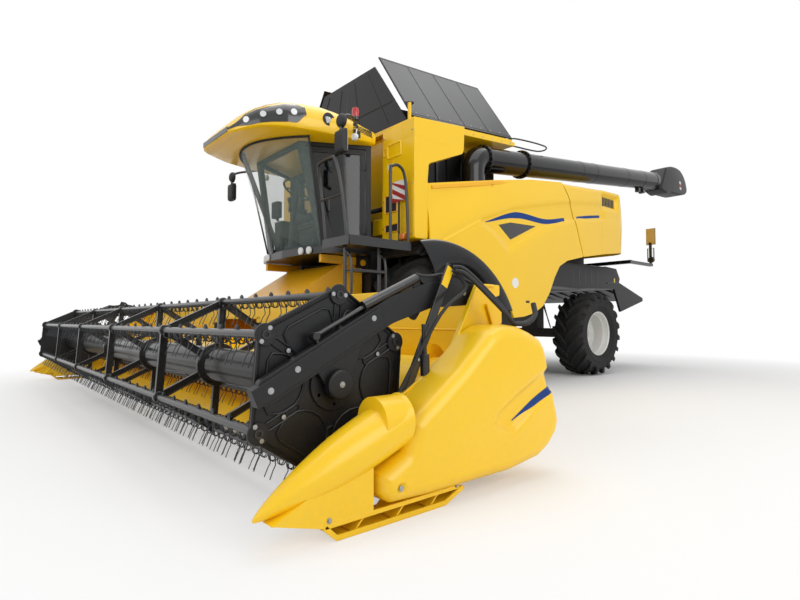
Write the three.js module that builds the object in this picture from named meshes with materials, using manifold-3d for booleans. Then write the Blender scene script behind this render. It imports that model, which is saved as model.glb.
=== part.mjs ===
// Combine harvester with a grain header, standing parked with the header lowered to the ground.
// Millimetres, +Z up. It drives towards -Y, and +X is its left side, with the ladder and the
// unloading auger. Y is measured from the front axle here; the last group moves the origin to
// the middle of the whole machine's footprint.
import * as THREE from 'three';
import { mergeVertices } from 'three/addons/utils/BufferGeometryUtils.js';
import Module from 'manifold-3d';

const wasm = await Module();
wasm.setup();

// ---- Driving dimensions ----
const seat = 0.3;            // gap between pieces that are bolted or seated on each other
const play = 0.5;            // running play of a shaft in its hole
const moving = 12;           // clearance between pieces that move past each other

const frontTyre = { radius: 910, width: 650, bead: 410, beadHalf: 230, halfTrack: 1200 };
const rearTyre = { radius: 705, width: 540, bead: 358, beadHalf: 190, halfTrack: 1110 };
const wheelbase = 3750;
const bodyHalf = 1580;       // centre plane to the outside of the side panels
const throatHalf = 760;      // centre plane to the side of the threshing body
const cabFrontHalf = 690;    // centre plane to the windscreen posts
const cabRearHalf = 950;     // centre plane to the rear cab posts
const cabWall = 60;
const panelThick = 45;
const flapThick = 18;
const tankWall = 20;
const tankHalf = 930;        // grain tank below its rim
const rimHalf = 1300;        // grain tank rim
const reelHalf = 3690;       // centre plane to the outside of the reel's end plates
const reelRadius = 435;      // reel centre to the bat tubes
const batRadius = 21;
const tableAugerRadius = 280;
const augerTube = 175;       // outside radius of the unloading auger
const steelSheet = 30;

// Heights in the upper group are measured from the front axle.
const axleHeight = frontTyre.radius;
const rearAxleHeight = rearTyre.radius - frontTyre.radius;
const deck = 1240;           // top of the threshing body
const floorHeight = 880;     // cab floor and platform
const bodyBelly = 560;       // underside of the straw hood over the steered wheels

// ---- Colours and finishes ----
const paint = (name, color, roughness = 0.4, metalness = 0.1) =>
  new THREE.MeshStandardMaterial({ name, color, roughness, metalness });
const yellow = paint('yellow_paint', 0xf8d000);
const black = paint('black_paint', 0x17181a, 0.5);
const plastic = paint('black_plastic', 0x202124, 0.6, 0);
const grey = paint('grey_rim', 0xd4d5d2, 0.45);
const rubber = paint('tyre_rubber', 0x16161a, 0.9, 0);
const steel = paint('bare_steel', 0x8d8f91, 0.35, 0.9);
const glass = new THREE.MeshStandardMaterial(
  { name: 'cab_glass', color: 0x9fb3b0, roughness: 0.05, transparent: true, opacity: 0.35 });
const fabric = paint('seat_cloth', 0x2b2d30, 0.9, 0);

// ---- Solids ----
function solid(geometry) {
  const bare = new THREE.BufferGeometry();
  bare.setAttribute('position', geometry.attributes.position.clone());
  if (geometry.index) bare.setIndex(geometry.index.clone());
  const merged = mergeVertices(bare, 1e-3);
  const place = merged.attributes.position.array;
  const all = merged.index.array;
  const faces = [];
  let volume = 0;
  const a = new THREE.Vector3(), b = new THREE.Vector3(), c = new THREE.Vector3();
  for (let i = 0; i < all.length; i += 3) {
    const [p, q, r] = [all[i], all[i + 1], all[i + 2]];
    if (p === q || q === r || r === p) continue;
    faces.push(p, q, r);
    volume += a.fromArray(place, 3 * p).dot(b.fromArray(place, 3 * q).cross(c.fromArray(place, 3 * r)));
  }
  if (volume < 0) {
    for (let i = 0; i < faces.length; i += 3) [faces[i], faces[i + 1]] = [faces[i + 1], faces[i]];
  }
  return new wasm.Manifold(new wasm.Mesh({
    numProp: 3, vertProperties: new Float32Array(place), triVerts: new Uint32Array(faces),
  }));
}

function join(...pieces) {
  return pieces.reduce((whole, piece) => whole.add(piece));
}

function cut(base, ...tools) {
  return tools.reduce((whole, tool) => whole.subtract(tool), base);
}

function box(x0, x1, y0, y1, z0, z1) {
  const shape = new THREE.BoxGeometry(Math.abs(x1 - x0), Math.abs(y1 - y0), Math.abs(z1 - z0));
  return solid(shape.translate((x0 + x1) / 2, (y0 + y1) / 2, (z0 + z1) / 2));
}

// A solid through rings of points: each ring has the same count, and the ends are capped.
function loft(rings) {
  const count = rings[0].length;
  const points = rings.flat().flat();
  const faces = [];
  for (let i = 0; i + 1 < rings.length; i++) {
    for (let j = 0; j < count; j++) {
      const p = i * count + j, q = i * count + (j + 1) % count;
      faces.push(p, q, q + count, p, q + count, p + count);
    }
  }
  const cap = (ring, base, flip) => {
    const [o, u, v] = [ring[0], ring[1], ring[2]].map((p) => new THREE.Vector3(...p));
    const across = u.clone().sub(o).normalize();
    const normal = new THREE.Vector3();
    for (let j = 0; j < count; j++) {
      normal.add(new THREE.Vector3(...ring[j]).cross(new THREE.Vector3(...ring[(j + 1) % count])));
    }
    normal.normalize();
    const up = normal.clone().cross(across);
    const flat = ring.map((p) => {
      const d = new THREE.Vector3(...p).sub(o);
      return new THREE.Vector2(d.dot(across), d.dot(up));
    });
    for (const [p, q, r] of THREE.ShapeUtils.triangulateShape(flat, [])) {
      if (flip) faces.push(base + p, base + r, base + q);
      else faces.push(base + p, base + q, base + r);
    }
  };
  cap(rings[0], 0, true);
  cap(rings[rings.length - 1], (rings.length - 1) * count, false);
  const geometry = new THREE.BufferGeometry();
  geometry.setAttribute('position', new THREE.Float32BufferAttribute(points, 3));
  geometry.setIndex(faces);
  return solid(geometry);
}

const sideProfile = (outline, x0, x1) => loft([x0, x1].map((x) => outline.map(([y, z]) => [x, y, z])));
const planProfile = (outline, z0, z1) => loft([z0, z1].map((z) => outline.map(([x, y]) => [x, y, z])));
const frontProfile = (outline, y0, y1) => loft([y0, y1].map((y) => outline.map(([x, z]) => [x, y, z])));

// A round bar between two points.
function rod(from, to, radius, sides = 12) {
  const start = new THREE.Vector3(...from), end = new THREE.Vector3(...to);
  const along = end.clone().sub(start);
  const bar = new THREE.CylinderGeometry(radius, radius, along.length(), sides);
  bar.applyQuaternion(new THREE.Quaternion().setFromUnitVectors(
    new THREE.Vector3(0, 1, 0), along.clone().normalize()));
  const middle = start.add(end).multiplyScalar(0.5);
  return solid(bar.translate(middle.x, middle.y, middle.z));
}

// A round tube that follows a smooth line through points.
function tube(points, radius, steps, sides = 6) {
  const path = new THREE.CatmullRomCurve3(points.map((p) => new THREE.Vector3(...p)), false, 'centripetal');
  const ring = new THREE.Shape();
  for (let i = 0; i < sides; i++) {
    const turn = 2 * Math.PI * i / sides;
    ring[i ? 'lineTo' : 'moveTo'](radius * Math.cos(turn), radius * Math.sin(turn));
  }
  ring.closePath();
  return solid(new THREE.ExtrudeGeometry(ring, { steps, extrudePath: path }));
}

// A turned piece about a line along X through the origin; the profile lists [radius, x].
function turned(profile, sides = 24) {
  const outline = profile.map(([r, x]) => new THREE.Vector2(r, x));
  if (profile[0][0] > 0) outline.push(outline[0].clone());
  return solid(new THREE.LatheGeometry(outline, sides).rotateZ(-Math.PI / 2));
}

const arc = (cy, cz, radius, from, to, steps) => Array.from({ length: steps + 1 }, (_, i) => {
  const turn = THREE.MathUtils.degToRad(from + (to - from) * i / steps);
  return [cy + radius * Math.cos(turn), cz + radius * Math.sin(turn)];
});

const mirrored = (piece) => piece.mirror([1, 0, 0]);

// Corner radius of a hole with flat sides that a round bar of this radius just passes through.
const around = (radius, sides) => radius / Math.cos(Math.PI / sides);

// ---- Scene ----
const machine = new THREE.Group();
const upper = new THREE.Group();
upper.position.z = axleHeight;
machine.add(upper);

function part(name, piece, material, parent = machine) {
  const { numProp, vertProperties, triVerts } = piece.getMesh();
  const positions = new Float32Array(vertProperties.length / numProp * 3);
  for (let i = 0; i < positions.length / 3; i++) {
    for (let k = 0; k < 3; k++) positions[3 * i + k] = vertProperties[numProp * i + k];
  }
  const geometry = new THREE.BufferGeometry();
  geometry.setAttribute('position', new THREE.BufferAttribute(positions, 3));
  geometry.setIndex(new THREE.BufferAttribute(new Uint32Array(triVerts), 1));
  geometry.computeVertexNormals();
  const mesh = new THREE.Mesh(geometry, material);
  mesh.name = name;
  parent.add(mesh);
  return mesh;
}

function pair(name, piece, material, parent = machine) {
  part(`${name}_left`, piece, material, parent);
  part(`${name}_right`, mirrored(piece), material, parent);
}

// ---- Wheels ----
function tyreSolid({ radius, width, bead, beadHalf }) {
  const half = width / 2;
  const wall = radius - bead;
  const side = [[bead, beadHalf], [bead + 0.16 * wall, beadHalf + 0.6 * (half - beadHalf)],
    [bead + 0.45 * wall, half], [bead + 0.76 * wall, half - 8], [radius - 0.05 * wall, half - 50],
    [radius, half - 95]];
  return turned([...side, ...side.map(([r, x]) => [r, -x]).reverse()]);
}

// Inner edge of a rim's disc, measured from the middle of the wheel.
const frontDisc = -20;
const rearDisc = -135;
const discThick = 30;

function rimSolid({ bead, beadHalf }, disc) {
  const barrel = bead - seat;
  const inside = bead - 32;
  const edge = beadHalf + 30;
  return turned([[0, disc], [inside, disc], [inside, -edge], [bead + 15, -edge], [bead + 15, -beadHalf - 22],
    [barrel, -beadHalf - 1.5], [barrel, beadHalf + 1.5], [bead + 15, beadHalf + 22], [bead + 15, edge],
    [inside, edge], [inside, disc + discThick], [0, disc + discThick]]);
}

for (const [place, tyre, disc, y, z] of [['front', frontTyre, frontDisc, 0, 0],
  ['rear', rearTyre, rearDisc, wheelbase, rearAxleHeight]]) {
  const rubberRing = tyreSolid(tyre);
  const rim = rimSolid(tyre, disc);
  const at = [tyre.halfTrack, y, z];
  pair(`tyre_${place}`, rubberRing.translate(at), rubber, upper);
  pair(`rim_${place}`, rim.translate(at), grey, upper);
}

// ---- Front axle ----
const hubFace = frontTyre.halfTrack + frontDisc - play;
const bellyFront = 300;      // underside of the body over the front axle
{
  const bracket = box(440, 640, -90, 90, 120, bellyFront - seat);
  const drive = turned([[0, 660], [215, 660], [215, hubFace - 90], [160, hubFace - 60], [160, hubFace],
    [0, hubFace]], 20);
  const half = join(bracket, drive);
  part('front_axle', join(box(-700, 700, -130, 130, -150, 130), half, mirrored(half)), black, upper);
}

// ---- Rear axle and steering knuckles ----
const kingpin = 790;
const eye = { radius: 75, half: 95, pin: 30 };
{
  const h = rearAxleHeight;
  const beam = box(-kingpin, kingpin, wheelbase - 85, wheelbase + 85, h - 80, h + 80);
  const eyeAt = (x) => rod([x, wheelbase, h - eye.half], [x, wheelbase, h + eye.half], eye.radius, 20);
  const hole = (x) => rod([x, wheelbase, h - 200], [x, wheelbase, h + 200], eye.pin + play, 20);
  const saddle = box(-170, 170, wheelbase - 110, wheelbase + 110, h + 60, bodyBelly + 20 - seat);
  const narrow = cut(beam, ...[1, -1].map((s) => box(s * (kingpin - 10), s * (kingpin + 5), wheelbase - 90,
    wheelbase + 90, h - 90, h + 90)));
  const axle = cut(join(narrow, eyeAt(kingpin), eyeAt(-kingpin), saddle), hole(kingpin), hole(-kingpin));
  part('rear_axle', axle, black, upper);

  const yoke = (z0, z1) => box(kingpin - 55, kingpin + 115, wheelbase - 60, wheelbase + 60, z0, z1);
  const hub = rearTyre.halfTrack + rearDisc - play;
  const top = h + eye.half + 1;
  const low = h - eye.half - 1;
  const knuckle = join(yoke(top, top + 30), yoke(low - 30, low),
    box(kingpin + 88, kingpin + 115, wheelbase - 60, wheelbase + 60, low - 30, top + 30),
    rod([kingpin, wheelbase, low - 30], [kingpin, wheelbase, top + 30], eye.pin, 20),
    rod([kingpin + 110, wheelbase, h], [hub, wheelbase, h], 58, 20),
    rod([hub - 22, wheelbase, h], [hub, wheelbase, h], 130, 20));
  pair('steering_knuckle', knuckle, black, upper);
}

// ---- Threshing body, engine and rear ----
const bodyRear = wheelbase + 550;
const engineFront = 1700;
const feederPivot = [-790, axleHeight + 720];
const feederHalf = 630;
const trunnion = { radius: 38, out: feederHalf + 95 };
{
  const [y, h] = [feederPivot[0], feederPivot[1] - axleHeight];
  const hole = rod([feederHalf, y, h], [feederHalf + 120, y, h], around(trunnion.radius, 20) + seat, 20);
  const bearing = cut(box(feederHalf + 20, feederHalf + 85, y - 60, -690, h - 60, h + 60), hole);
  const body = sideProfile([[-700, bellyFront], [-700, deck], [bodyRear, deck], [bodyRear, 780],
    [wheelbase + 350, bodyBelly + 20], [wheelbase - 900, bodyBelly + 20], [wheelbase - 1150, -60], [620, -60],
    [400, bellyFront]], -throatHalf, throatHalf);
  part('threshing_body', join(bearing, mirrored(bearing), body), black, upper);
}
part('engine', box(-520, 520, engineFront, engineFront + 1150, deck + seat, deck + 560), black, upper);

// ---- Side panels, rear body and fenders ----
// Outlines run in Y and in height above the ground, drawn with the front axle at drawnAxle; they
// then drop to the upper group.
const drawnAxle = 910;
const drop = (outline) => outline.map(([y, z]) => [y, z - drawnAxle]);
const archCentre = [-310, 341];
const archRadius = frontTyre.radius + 611;
const skirtFoot = 975;       // lowest edge of the side panel and of the fender behind the wheel
const archFrom = THREE.MathUtils.radToDeg(Math.asin((skirtFoot - archCentre[1]) / archRadius));
const seamGap = 8;
const panelInner = bodyHalf - panelThick;
const hoodSeam = [[2326, 3007], [2515, 2716], [2858, 1918]];
const panelFront = -460;
const panelTop = [[panelFront, 2515], [802, 2777], [1560, 2915]];
{
  const archEnd = THREE.MathUtils.radToDeg(Math.acos((panelFront - archCentre[0]) / archRadius));
  const outline = [[1300, skirtFoot], ...arc(...archCentre, archRadius, archFrom, archEnd, 12), ...panelTop,
    ...hoodSeam.map(([y, z]) => [y - seamGap, z]), [2400, 1825], [2191, 1728], [2060, 1560], [1930, 1330],
    [1760, 1130], [1560, 1030]];
  const panel = sideProfile(drop(outline), panelInner, bodyHalf);
  pair('side_panel', panel, yellow, upper);
}
{
  // Rear body: hood over the straw walkers, deck behind the tank and the rails of the side panels.
  const side = [...hoodSeam, [3563, 2022], [4226, 2096], [4310, 2500], [4289, 2769], [4190, 3020],
    [4048, 3119], [3532, 3102]];
  const tail = [[3500, 2150], [3563, 2022], [4340, 2110], [4450, 2553], [4400, 2850], [4270, 3060],
    [4100, 3140], [3500, 3110]];
  const wide = sideProfile(drop(side), -bodyHalf, bodyHalf);
  const end = sideProfile(drop(tail), 140 - bodyHalf, bodyHalf - 140);
  const hollowHalf = bodyHalf - panelThick;
  const inside = sideProfile(drop([[2200, 1500], [4180, 1500], [4250, 2500], [4170, 2850], [4000, 3060],
    [3532, 3057], [2200, 2945]]), -hollowHalf, hollowHalf);
  const tailInside = sideProfile(drop([[2200, 1500], [4315, 1500], [4390, 2553], [4340, 2830], [4230, 3010],
    [4060, 3085], [2200, 2930]]), 190 - bodyHalf, bodyHalf - 190);
  const railHalf = panelInner - seat;
  const deckPlate = sideProfile(drop([[1530, 2862], [2400, 2970], [2400, 3012], [2326, 3000], [1530, 2904]]),
    -railHalf, railHalf);
  const strip = sideProfile(drop([[panelFront + 60, 2460], [802, 2725], [1560, 2860], [1560, 2905],
    [802, 2768], [panelFront + 60, 2505]]), railHalf - 50, railHalf);
  const beam = join(box(throatHalf + 40, railHalf, 1465, 1530, deck + seat, deck + 60),
    box(railHalf - 60, railHalf, 1465, 1540, deck + seat, 1990),
    box(throatHalf - 160, throatHalf + 60, 1465, 1530, deck + seat, deck + 60));
  const foot = box(throatHalf - 60, bodyHalf - 10, 3600, 3660, deck + seat, deck + 60);
  part('rear_body', join(cut(join(wide, end), inside, tailInside), deckPlate, strip, mirrored(strip), beam,
    mirrored(beam), foot, mirrored(foot)), yellow, upper);
}
{
  const fenderOuter = bodyHalf + 50;
  const lip = frontTyre.halfTrack + frontTyre.width / 2 + moving;
  const wheelArc = (radius, from, to, steps) => arc(0, drawnAxle, radius, from, to, steps);
  const archInner = frontTyre.radius + 55;
  const archFootY = archCentre[0] + archRadius * Math.cos(THREE.MathUtils.degToRad(archFrom));
  const skirt = [...arc(...archCentre, archRadius - seamGap, 30, 104, 12),
    [-715, 1640], ...wheelArc(frontTyre.radius - 220, 128, 12, 8), [archFootY - 18, skirtFoot]];
  const roof = [...wheelArc(archInner + 45, 5, 128, 10), ...wheelArc(archInner, 128, 5, 10)];
  const roofOuter = panelInner - moving;
  const web = (low, high) => [...wheelArc(high, 102, 126, 4), ...wheelArc(low, 126, 102, 4)];
  const fender = join(sideProfile(drop(skirt), lip, fenderOuter),
    sideProfile(drop(roof), throatHalf + seat, roofOuter),
    sideProfile(drop(web(archInner - 38, archInner - 10)), roofOuter - 40, lip + 5),
    sideProfile(drop(web(archInner - 38, archInner + 20)), roofOuter - 60, roofOuter));
  pair('front_fender', fender, plastic, upper);
}

// ---- Straw chopper with its tailboard ----
const chopperHalf = 1180;
{
  const behind = (outline) => drop(outline.map(([y, z]) => [bodyRear + y, z]));
  const housing = sideProfile(behind([[seat, 1500], [seat, 1900], [400, 1880], [530, 1700], [440, 1500]]),
    -chopperHalf, chopperHalf);
  const overTyre = rearAxleHeight + rearTyre.radius + drawnAxle + 60;
  const side = sideProfile(behind([[-1931, overTyre], [-1444, 1870], [100, 1880], [100, 1500],
    [-900, overTyre]]), throatHalf + seat, chopperHalf);
  const board = sideProfile(behind([[390, 1560], [440, 1640], [1500, 1365], [1500, 1325]]),
    30 - chopperHalf, chopperHalf - 30);
  const cheek = sideProfile(behind([[350, 1520], [350, 1700], [440, 1660], [1505, 1370], [1500, 1310],
    [590, 1090]]), chopperHalf - 60, chopperHalf - 20);
  part('straw_chopper', join(housing, side, mirrored(side), board, cheek, mirrored(cheek)), black, upper);
}

// ---- Rear marker boards on their cross bar ----
{
  const armEnd = bodyRear + 880;
  const bar = box(-1640, 1640, bodyRear + seat, bodyRear + 60, 1010, 1070);
  const arm = box(1580, 1640, bodyRear + 10, armEnd, 1015, 1065);
  const post = join(arm, box(1590, 1630, armEnd - 40, armEnd, 1015, 1460),
    box(1530, 1690, armEnd - 15, armEnd + 15, 1420, 1720));
  part('rear_marker_frame', join(bar, post, mirrored(post)), black, upper);
}

// ---- Grain tank, its rim and the four cover flaps ----
const rimSlope = 0.0855;
const rimFront = -545;
const rimRear = 1500;
const rimTop = (y) => 2456 + rimSlope * y;
const rimThick = 50;
const upstand = 30;
const flapBarrel = 9;
const sideHinge = { x: rimHalf - 15, h: 2621, barrel: 11.5, pin: 8 };
{
  const corners = (x0, x1, y0, y1, height) => [[x0, y0], [x1, y0], [x1, y1], [x0, y1]]
    .map(([x, y]) => [x, y, height(y)]);
  const slab = (x0, x1, y0, y1, low, high) => loft([low, high].map((h) =>
    corners(x0, x1, y0, y1, (y) => rimTop(y) + h)));
  const floor = deck + seat;
  const bin = loft([() => floor, (y) => rimTop(y) - 10].map((height) =>
    corners(-tankHalf, tankHalf, -450, 1460, height)));
  const inside = tankHalf - tankWall;
  const hollow = loft([() => floor + tankWall, (y) => rimTop(y) + 80].map((height) =>
    corners(-inside, inside, -450 + tankWall, 1460 - tankWall, height)));
  const rim = slab(-rimHalf, rimHalf, rimFront, rimRear, -rimThick, 0);
  const strip = slab(rimHalf - 38, rimHalf, -495, 1440, -10, upstand);
  const post = box(rimHalf - 30, rimHalf, -540, -510, rimTop(-540) - 10, sideHinge.h - sideHinge.pin - seat);
  const shell = join(bin, rim, strip, mirrored(strip), post, mirrored(post));
  part('grain_tank', cut(shell, hollow), yellow, upper);

  const flapFoot = rimHalf - 15;
  const flapHead = 640;
  const flapRise = (y) => 3420 + rimSlope * (y + 495);
  const foot = (y) => rimTop(y) + upstand + moving;
  const sheet = [[flapFoot, -495, foot(-495)], [flapFoot, 1440, foot(1440)],
    [flapHead, 1440, flapRise(1440)], [flapHead, -495, flapRise(-495)]];
  const lean = Math.atan2(flapFoot - flapHead, flapRise(0) - foot(0));
  const outward = [Math.cos(lean) * flapThick, 0, Math.sin(lean) * flapThick];
  const leaf = loft([sheet, sheet.map((p) => p.map((v, k) => v + outward[k]))]);
  const { x: hingeX, h: hingeH, barrel, pin } = sideHinge;
  const ear = join(frontProfile([[hingeX - 82, hingeH - 46], [hingeX - 20, hingeH - 8],
    [hingeX + 11, hingeH - 8], [hingeX + 11, hingeH + 12], [hingeX - 150, hingeH + 62]], -495, -465),
  rod([hingeX, -540, hingeH], [hingeX, -480, hingeH], pin, 12));
  const side = join(leaf, ear, rod([hingeX, 1380, hingeH], [hingeX, 1440, hingeH], barrel, 12));
  pair('tank_flap', side, black, upper);

  const endFlap = (y, top) => {
    const low = rimTop(y + flapThick / 2) + flapBarrel + seat;
    const plate = frontProfile([[-1230, low], [1230, low], [600, top], [-600, top]], y, y + flapThick);
    const at = (x) => [x, y + flapThick / 2, low];
    const barrels = [-1100, 0, 1100].map((x) => rod(at(x - 60), at(x + 60), flapBarrel, 12));
    return join(plate, ...barrels);
  };
  part('tank_flap_front', endFlap(-523, 3310), black, upper);
  part('tank_flap_rear', endFlap(1450, 3490), black, upper);
}

// ---- Corner towers beside the cab and the tank ----
{
  const outer = bodyHalf - 40;
  const inner = cabRearHalf + 10;
  const low = [[-676, 1851], [-468, 1851], [-468, 2545], [-448, 2743], [136, 2981], [160, 3225],
    [-676, 3218]];
  const high = [[-676, 3000], [136, 2985], [166, 3327], [-676, 3240]];
  const tower = join(sideProfile(drop(low), inner, outer), sideProfile(drop(high), rimHalf + 5, outer));
  const foot = box(throatHalf + seat, inner + 60, -676, -480, floorHeight + 80, floorHeight + 280);
  pair('tower', join(tower, foot), yellow, upper);
}

// ---- Cab ----
const cabRear = -845;
const cabTop = 2100;
const postFoot = -1345;      // windscreen posts at the floor
const postHead = -1600;      // and at the roof
const sideRun = (cabRearHalf - cabFrontHalf) / (cabRear - postFoot);
const postHeadHalf = cabRearHalf - sideRun * (cabRear - postHead);
{
  const half = [[throatHalf - 60, -700 - seat], [throatHalf - 60, cabRear + 5], [cabRearHalf, cabRear + 5],
    [cabRearHalf, -1200], [cabFrontHalf + 60, -1390], [400, -1480], [0, -1510]];
  const plan = [...half, ...half.slice(0, -1).map(([x, y]) => [-x, y]).reverse()].reverse();
  const deckPlate = planProfile(plan, floorHeight - 90, floorHeight);
  part('cab_floor', deckPlate, black, upper);

  const base = floorHeight + seat;
  const ring = (inset, low, high) => {
    const plan = (rear, front, half, headHalf, h) => [[half, rear, h], [headHalf, front, h],
      [-headHalf, front, h], [-half, rear, h]];
    const [rear, half] = [cabRear - inset, cabRearHalf - inset];
    return loft([plan(rear, postFoot + inset, half, cabFrontHalf - 0.7 * inset, low),
      plan(rear, postHead + inset, half, postHeadHalf - 0.7 * inset, high)]);
  };
  const shell = cut(ring(0, base, cabTop), ring(cabWall, base - 1, cabTop + 1));
  // Side openings follow the side's own plane: s runs forward from the rear post.
  const run = Math.hypot(cabRearHalf - cabFrontHalf, cabRear - postFoot);
  const along = [-(cabRearHalf - cabFrontHalf) / run, -(cabRear - postFoot) / run];
  const outwards = [-along[1], along[0]];
  const inSide = (s, h, out) => [cabRearHalf + along[0] * s + outwards[0] * out,
    cabRear + along[1] * s + outwards[1] * out, h];
  const post = 62;
  const headRun = run * (cabRear - postHead) / (cabRear - postFoot);
  const lead = (h) => run + (headRun - run) * (h - base) / (cabTop - base);
  const sideQuad = (grow, in0, out1) => {
    const [low, high] = [base + 45 - grow, cabTop - 45 + grow];
    const quad = (out) => [inSide(post - grow, low, out), inSide(lead(low) - post + grow, low, out),
      inSide(lead(high) - post + grow, high, out), inSide(post - grow, high, out)];
    return loft([quad(in0), quad(out1)]);
  };
  const opening = sideQuad(0, -120, 60);
  const [screenFoot, screenHead] = [cabFrontHalf - 70, postHeadHalf - 70];
  const screen = frontProfile([[-screenFoot, base + 30], [screenFoot, base + 30], [screenHead, cabTop - 40],
    [-screenHead, cabTop - 40]], postHead - 400, postHead + 600);
  const rearWindow = box(-600, 600, cabRear - cabWall - 20, cabRear + 20, base + 620, cabTop - 120);
  part('cab_frame', cut(shell, opening, mirrored(opening), screen, rearWindow), plastic, upper);

  const doorGap = 8;
  const barrel = { s: 58, out: 8, radius: 7.7 };
  const block = (s0, s1, out0, out1, low, high) => loft([low, high].map((h) => [inSide(s0, h, out0),
    inSide(s1, h, out0), inSide(s1, h, out1), inSide(s0, h, out1)]));
  const hinges = [base + 160, base + 920].map((h) => join(
    rod(inSide(barrel.s, h, barrel.out), inSide(barrel.s, h + 90, barrel.out), barrel.radius, 10),
    block(barrel.s, 110, 1, 7, h, h + 90), block(76, 110, -10, 3, h, h + 90)));
  const door = cut(sideQuad(-doorGap, -48, -3), sideQuad(-doorGap - 62, -120, 60));
  part('cab_door', join(door, ...hinges), plastic, upper);

  // Windscreen: bulges forward, more at the top than at the floor.
  const sheet = (out) => Array.from({ length: 9 }, (_, i) => {
    const t = -1 + i / 4;
    const bow = 1 - t * t;
    return [[t * (cabFrontHalf - 8), postFoot - seat - out - 110 * bow],
      [t * (postHeadHalf - 6), postHead - seat - out - 400 * bow]];
  });
  const level = (k, h) => [...sheet(0), ...sheet(12).reverse()].map((p) => [...p[k], h]);
  part('windscreen', loft([level(0, base), level(1, cabTop - seat)]), glass, upper);

  // Roof with its visor over the windscreen.
  const roofSection = ([y, half, low, high]) => {
    const waist = low + 0.5 * (high - low);
    return [[-half, low], [-half, waist], [-0.86 * half, high - 0.12 * (high - low)], [-0.45 * half, high],
      [0.45 * half, high], [0.86 * half, high - 0.12 * (high - low)], [half, waist], [half, low]]
      .map(([x, z]) => [x, y, z]);
  };
  part('cab_roof', loft([[-815, 1000, cabTop, 2360], [-1100, 1000, cabTop, 2440], [-1500, 960, cabTop, 2510],
    [-1900, 860, cabTop, 2470],
    [-2040, 780, cabTop, 2420], [-2150, 700, cabTop - 5, 2370], [-2320, 480, cabTop - 40, 2220],
    [-2370, 360, cabTop - 30, 2150]].map(([y, half, low, high]) => roofSection([y, half, low + seat, high]))),
  yellow, upper);

  const seatFoot = box(-200, 200, -1200, -960, base, base + 370);
  const cushion = box(-260, 260, -1250, -930, base + 370, base + 490);
  const back = loft([[[-240, -985], [240, -985], [240, -915], [-240, -915]].map((p) => [...p, base + 480]),
    [[-200, -975], [200, -975], [200, -920], [-200, -920]].map((p) => [...p, base + 1080])]);
  part('operator_seat', join(seatFoot, cushion, back), fabric, upper);

  const hub = [0, -1290, base + 800];
  const [wheelRadius, wheelTilt] = [195, -0.5];
  const wheel = solid(new THREE.TorusGeometry(wheelRadius, 15, 6, 16).rotateX(wheelTilt)).translate(hub);
  const column = join(rod([0, -1395, base + 6], hub, 28), box(-70, 70, -1440, -1352, base, base + 60));
  const spokes = [0, 1, 2].map((i) => {
    const turn = Math.PI / 2 + i * 2 * Math.PI / 3;
    const tip = new THREE.Vector3(wheelRadius * Math.cos(turn), wheelRadius * Math.sin(turn), 0)
      .applyAxisAngle(new THREE.Vector3(1, 0, 0), wheelTilt);
    return rod(hub, [hub[0] + tip.x, hub[1] + tip.y, hub[2] + tip.z], 10, 8);
  });
  part('steering_column', join(wheel, column, ...spokes), plastic, upper);
}

// ---- Left platform with its handrails, and the ladder ----
const railRadius = 17;
{
  const inner = cabRearHalf + seat;
  const outer = bodyHalf - 60;
  const top = floorHeight;
  const [front, rear] = [-1560, -700];
  const plan = [[inner + 50, front], [outer, front], [outer, rear], [inner, rear], [inner, -1195]];
  const plate = planProfile(plan, top - 50, top);
  const hoop = (points) => tube(points, railRadius, 16);
  const frontHoop = hoop([[1060, -1540, top - 20], [1050, -1590, top + 500], [1060, -1640, top + 760],
    [1120, -1660, top + 810], [1330, -1660, top + 820], [1400, -1640, top + 770], [1440, -1590, top + 450],
    [1460, -1540, top - 20]]);
  const rearHoop = hoop([[1480, -980, top - 20], [1480, -980, top + 650], [1478, -950, top + 740],
    [1478, -860, top + 760], [1480, -780, top + 680], [1480, -740, top + 400], [1480, -720, top - 20]]);
  part('platform_left', join(plate, frontHoop, rearHoop), black, upper);

  const [near, far, low] = [1330, 1480, -360];
  const strings = [-1490, -1035].map((y) => box(near, near + 40, y - 15, y + 15, low, top - 50 - seat));
  const steps = [10, 300, 590, 880].map((h) => box(near + 5, far, -1500, -1025, low + h, low + h + 30));
  const rails = [-1490, -1035].map((y) => tube([[near + 20, y, low + 340], [far - 30, y, low + 420],
    [far - 20, y, top - 260], [near + 20, y, top - 120]], 14, 9));
  part('ladder', join(...strings, ...steps, ...rails), black, upper);
}

// ---- Mirrors on the roof sides ----
{
  const [x, y] = [1400, -1585];
  const bracket = box(1000 + seat, 1030, -1140, -1060, cabTop + 30, cabTop + 110);
  const arm = tube([[1015, -1100, cabTop + 70], [1120, -1180, cabTop + 110], [x - 20, y + 130, cabTop + 80],
    [x, y, cabTop + 20]], 16, 9);
  const stem = rod([x, y, cabTop + 40], [x, y, cabTop - 140], 14, 10);
  const housing = box(x - 85, x + 85, y - 40, y + 40, cabTop - 350, cabTop - 110);
  const round = rod([x, y - 30, cabTop - 10], [x, y + 30, cabTop - 10], 75, 16);
  const beacon = rod([1180, -1240, cabTop + 90], [1180, -1240, cabTop + 290], 45, 14);
  pair('mirror', join(bracket, arm, stem, housing, round, beacon), plastic, upper);
}

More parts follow.
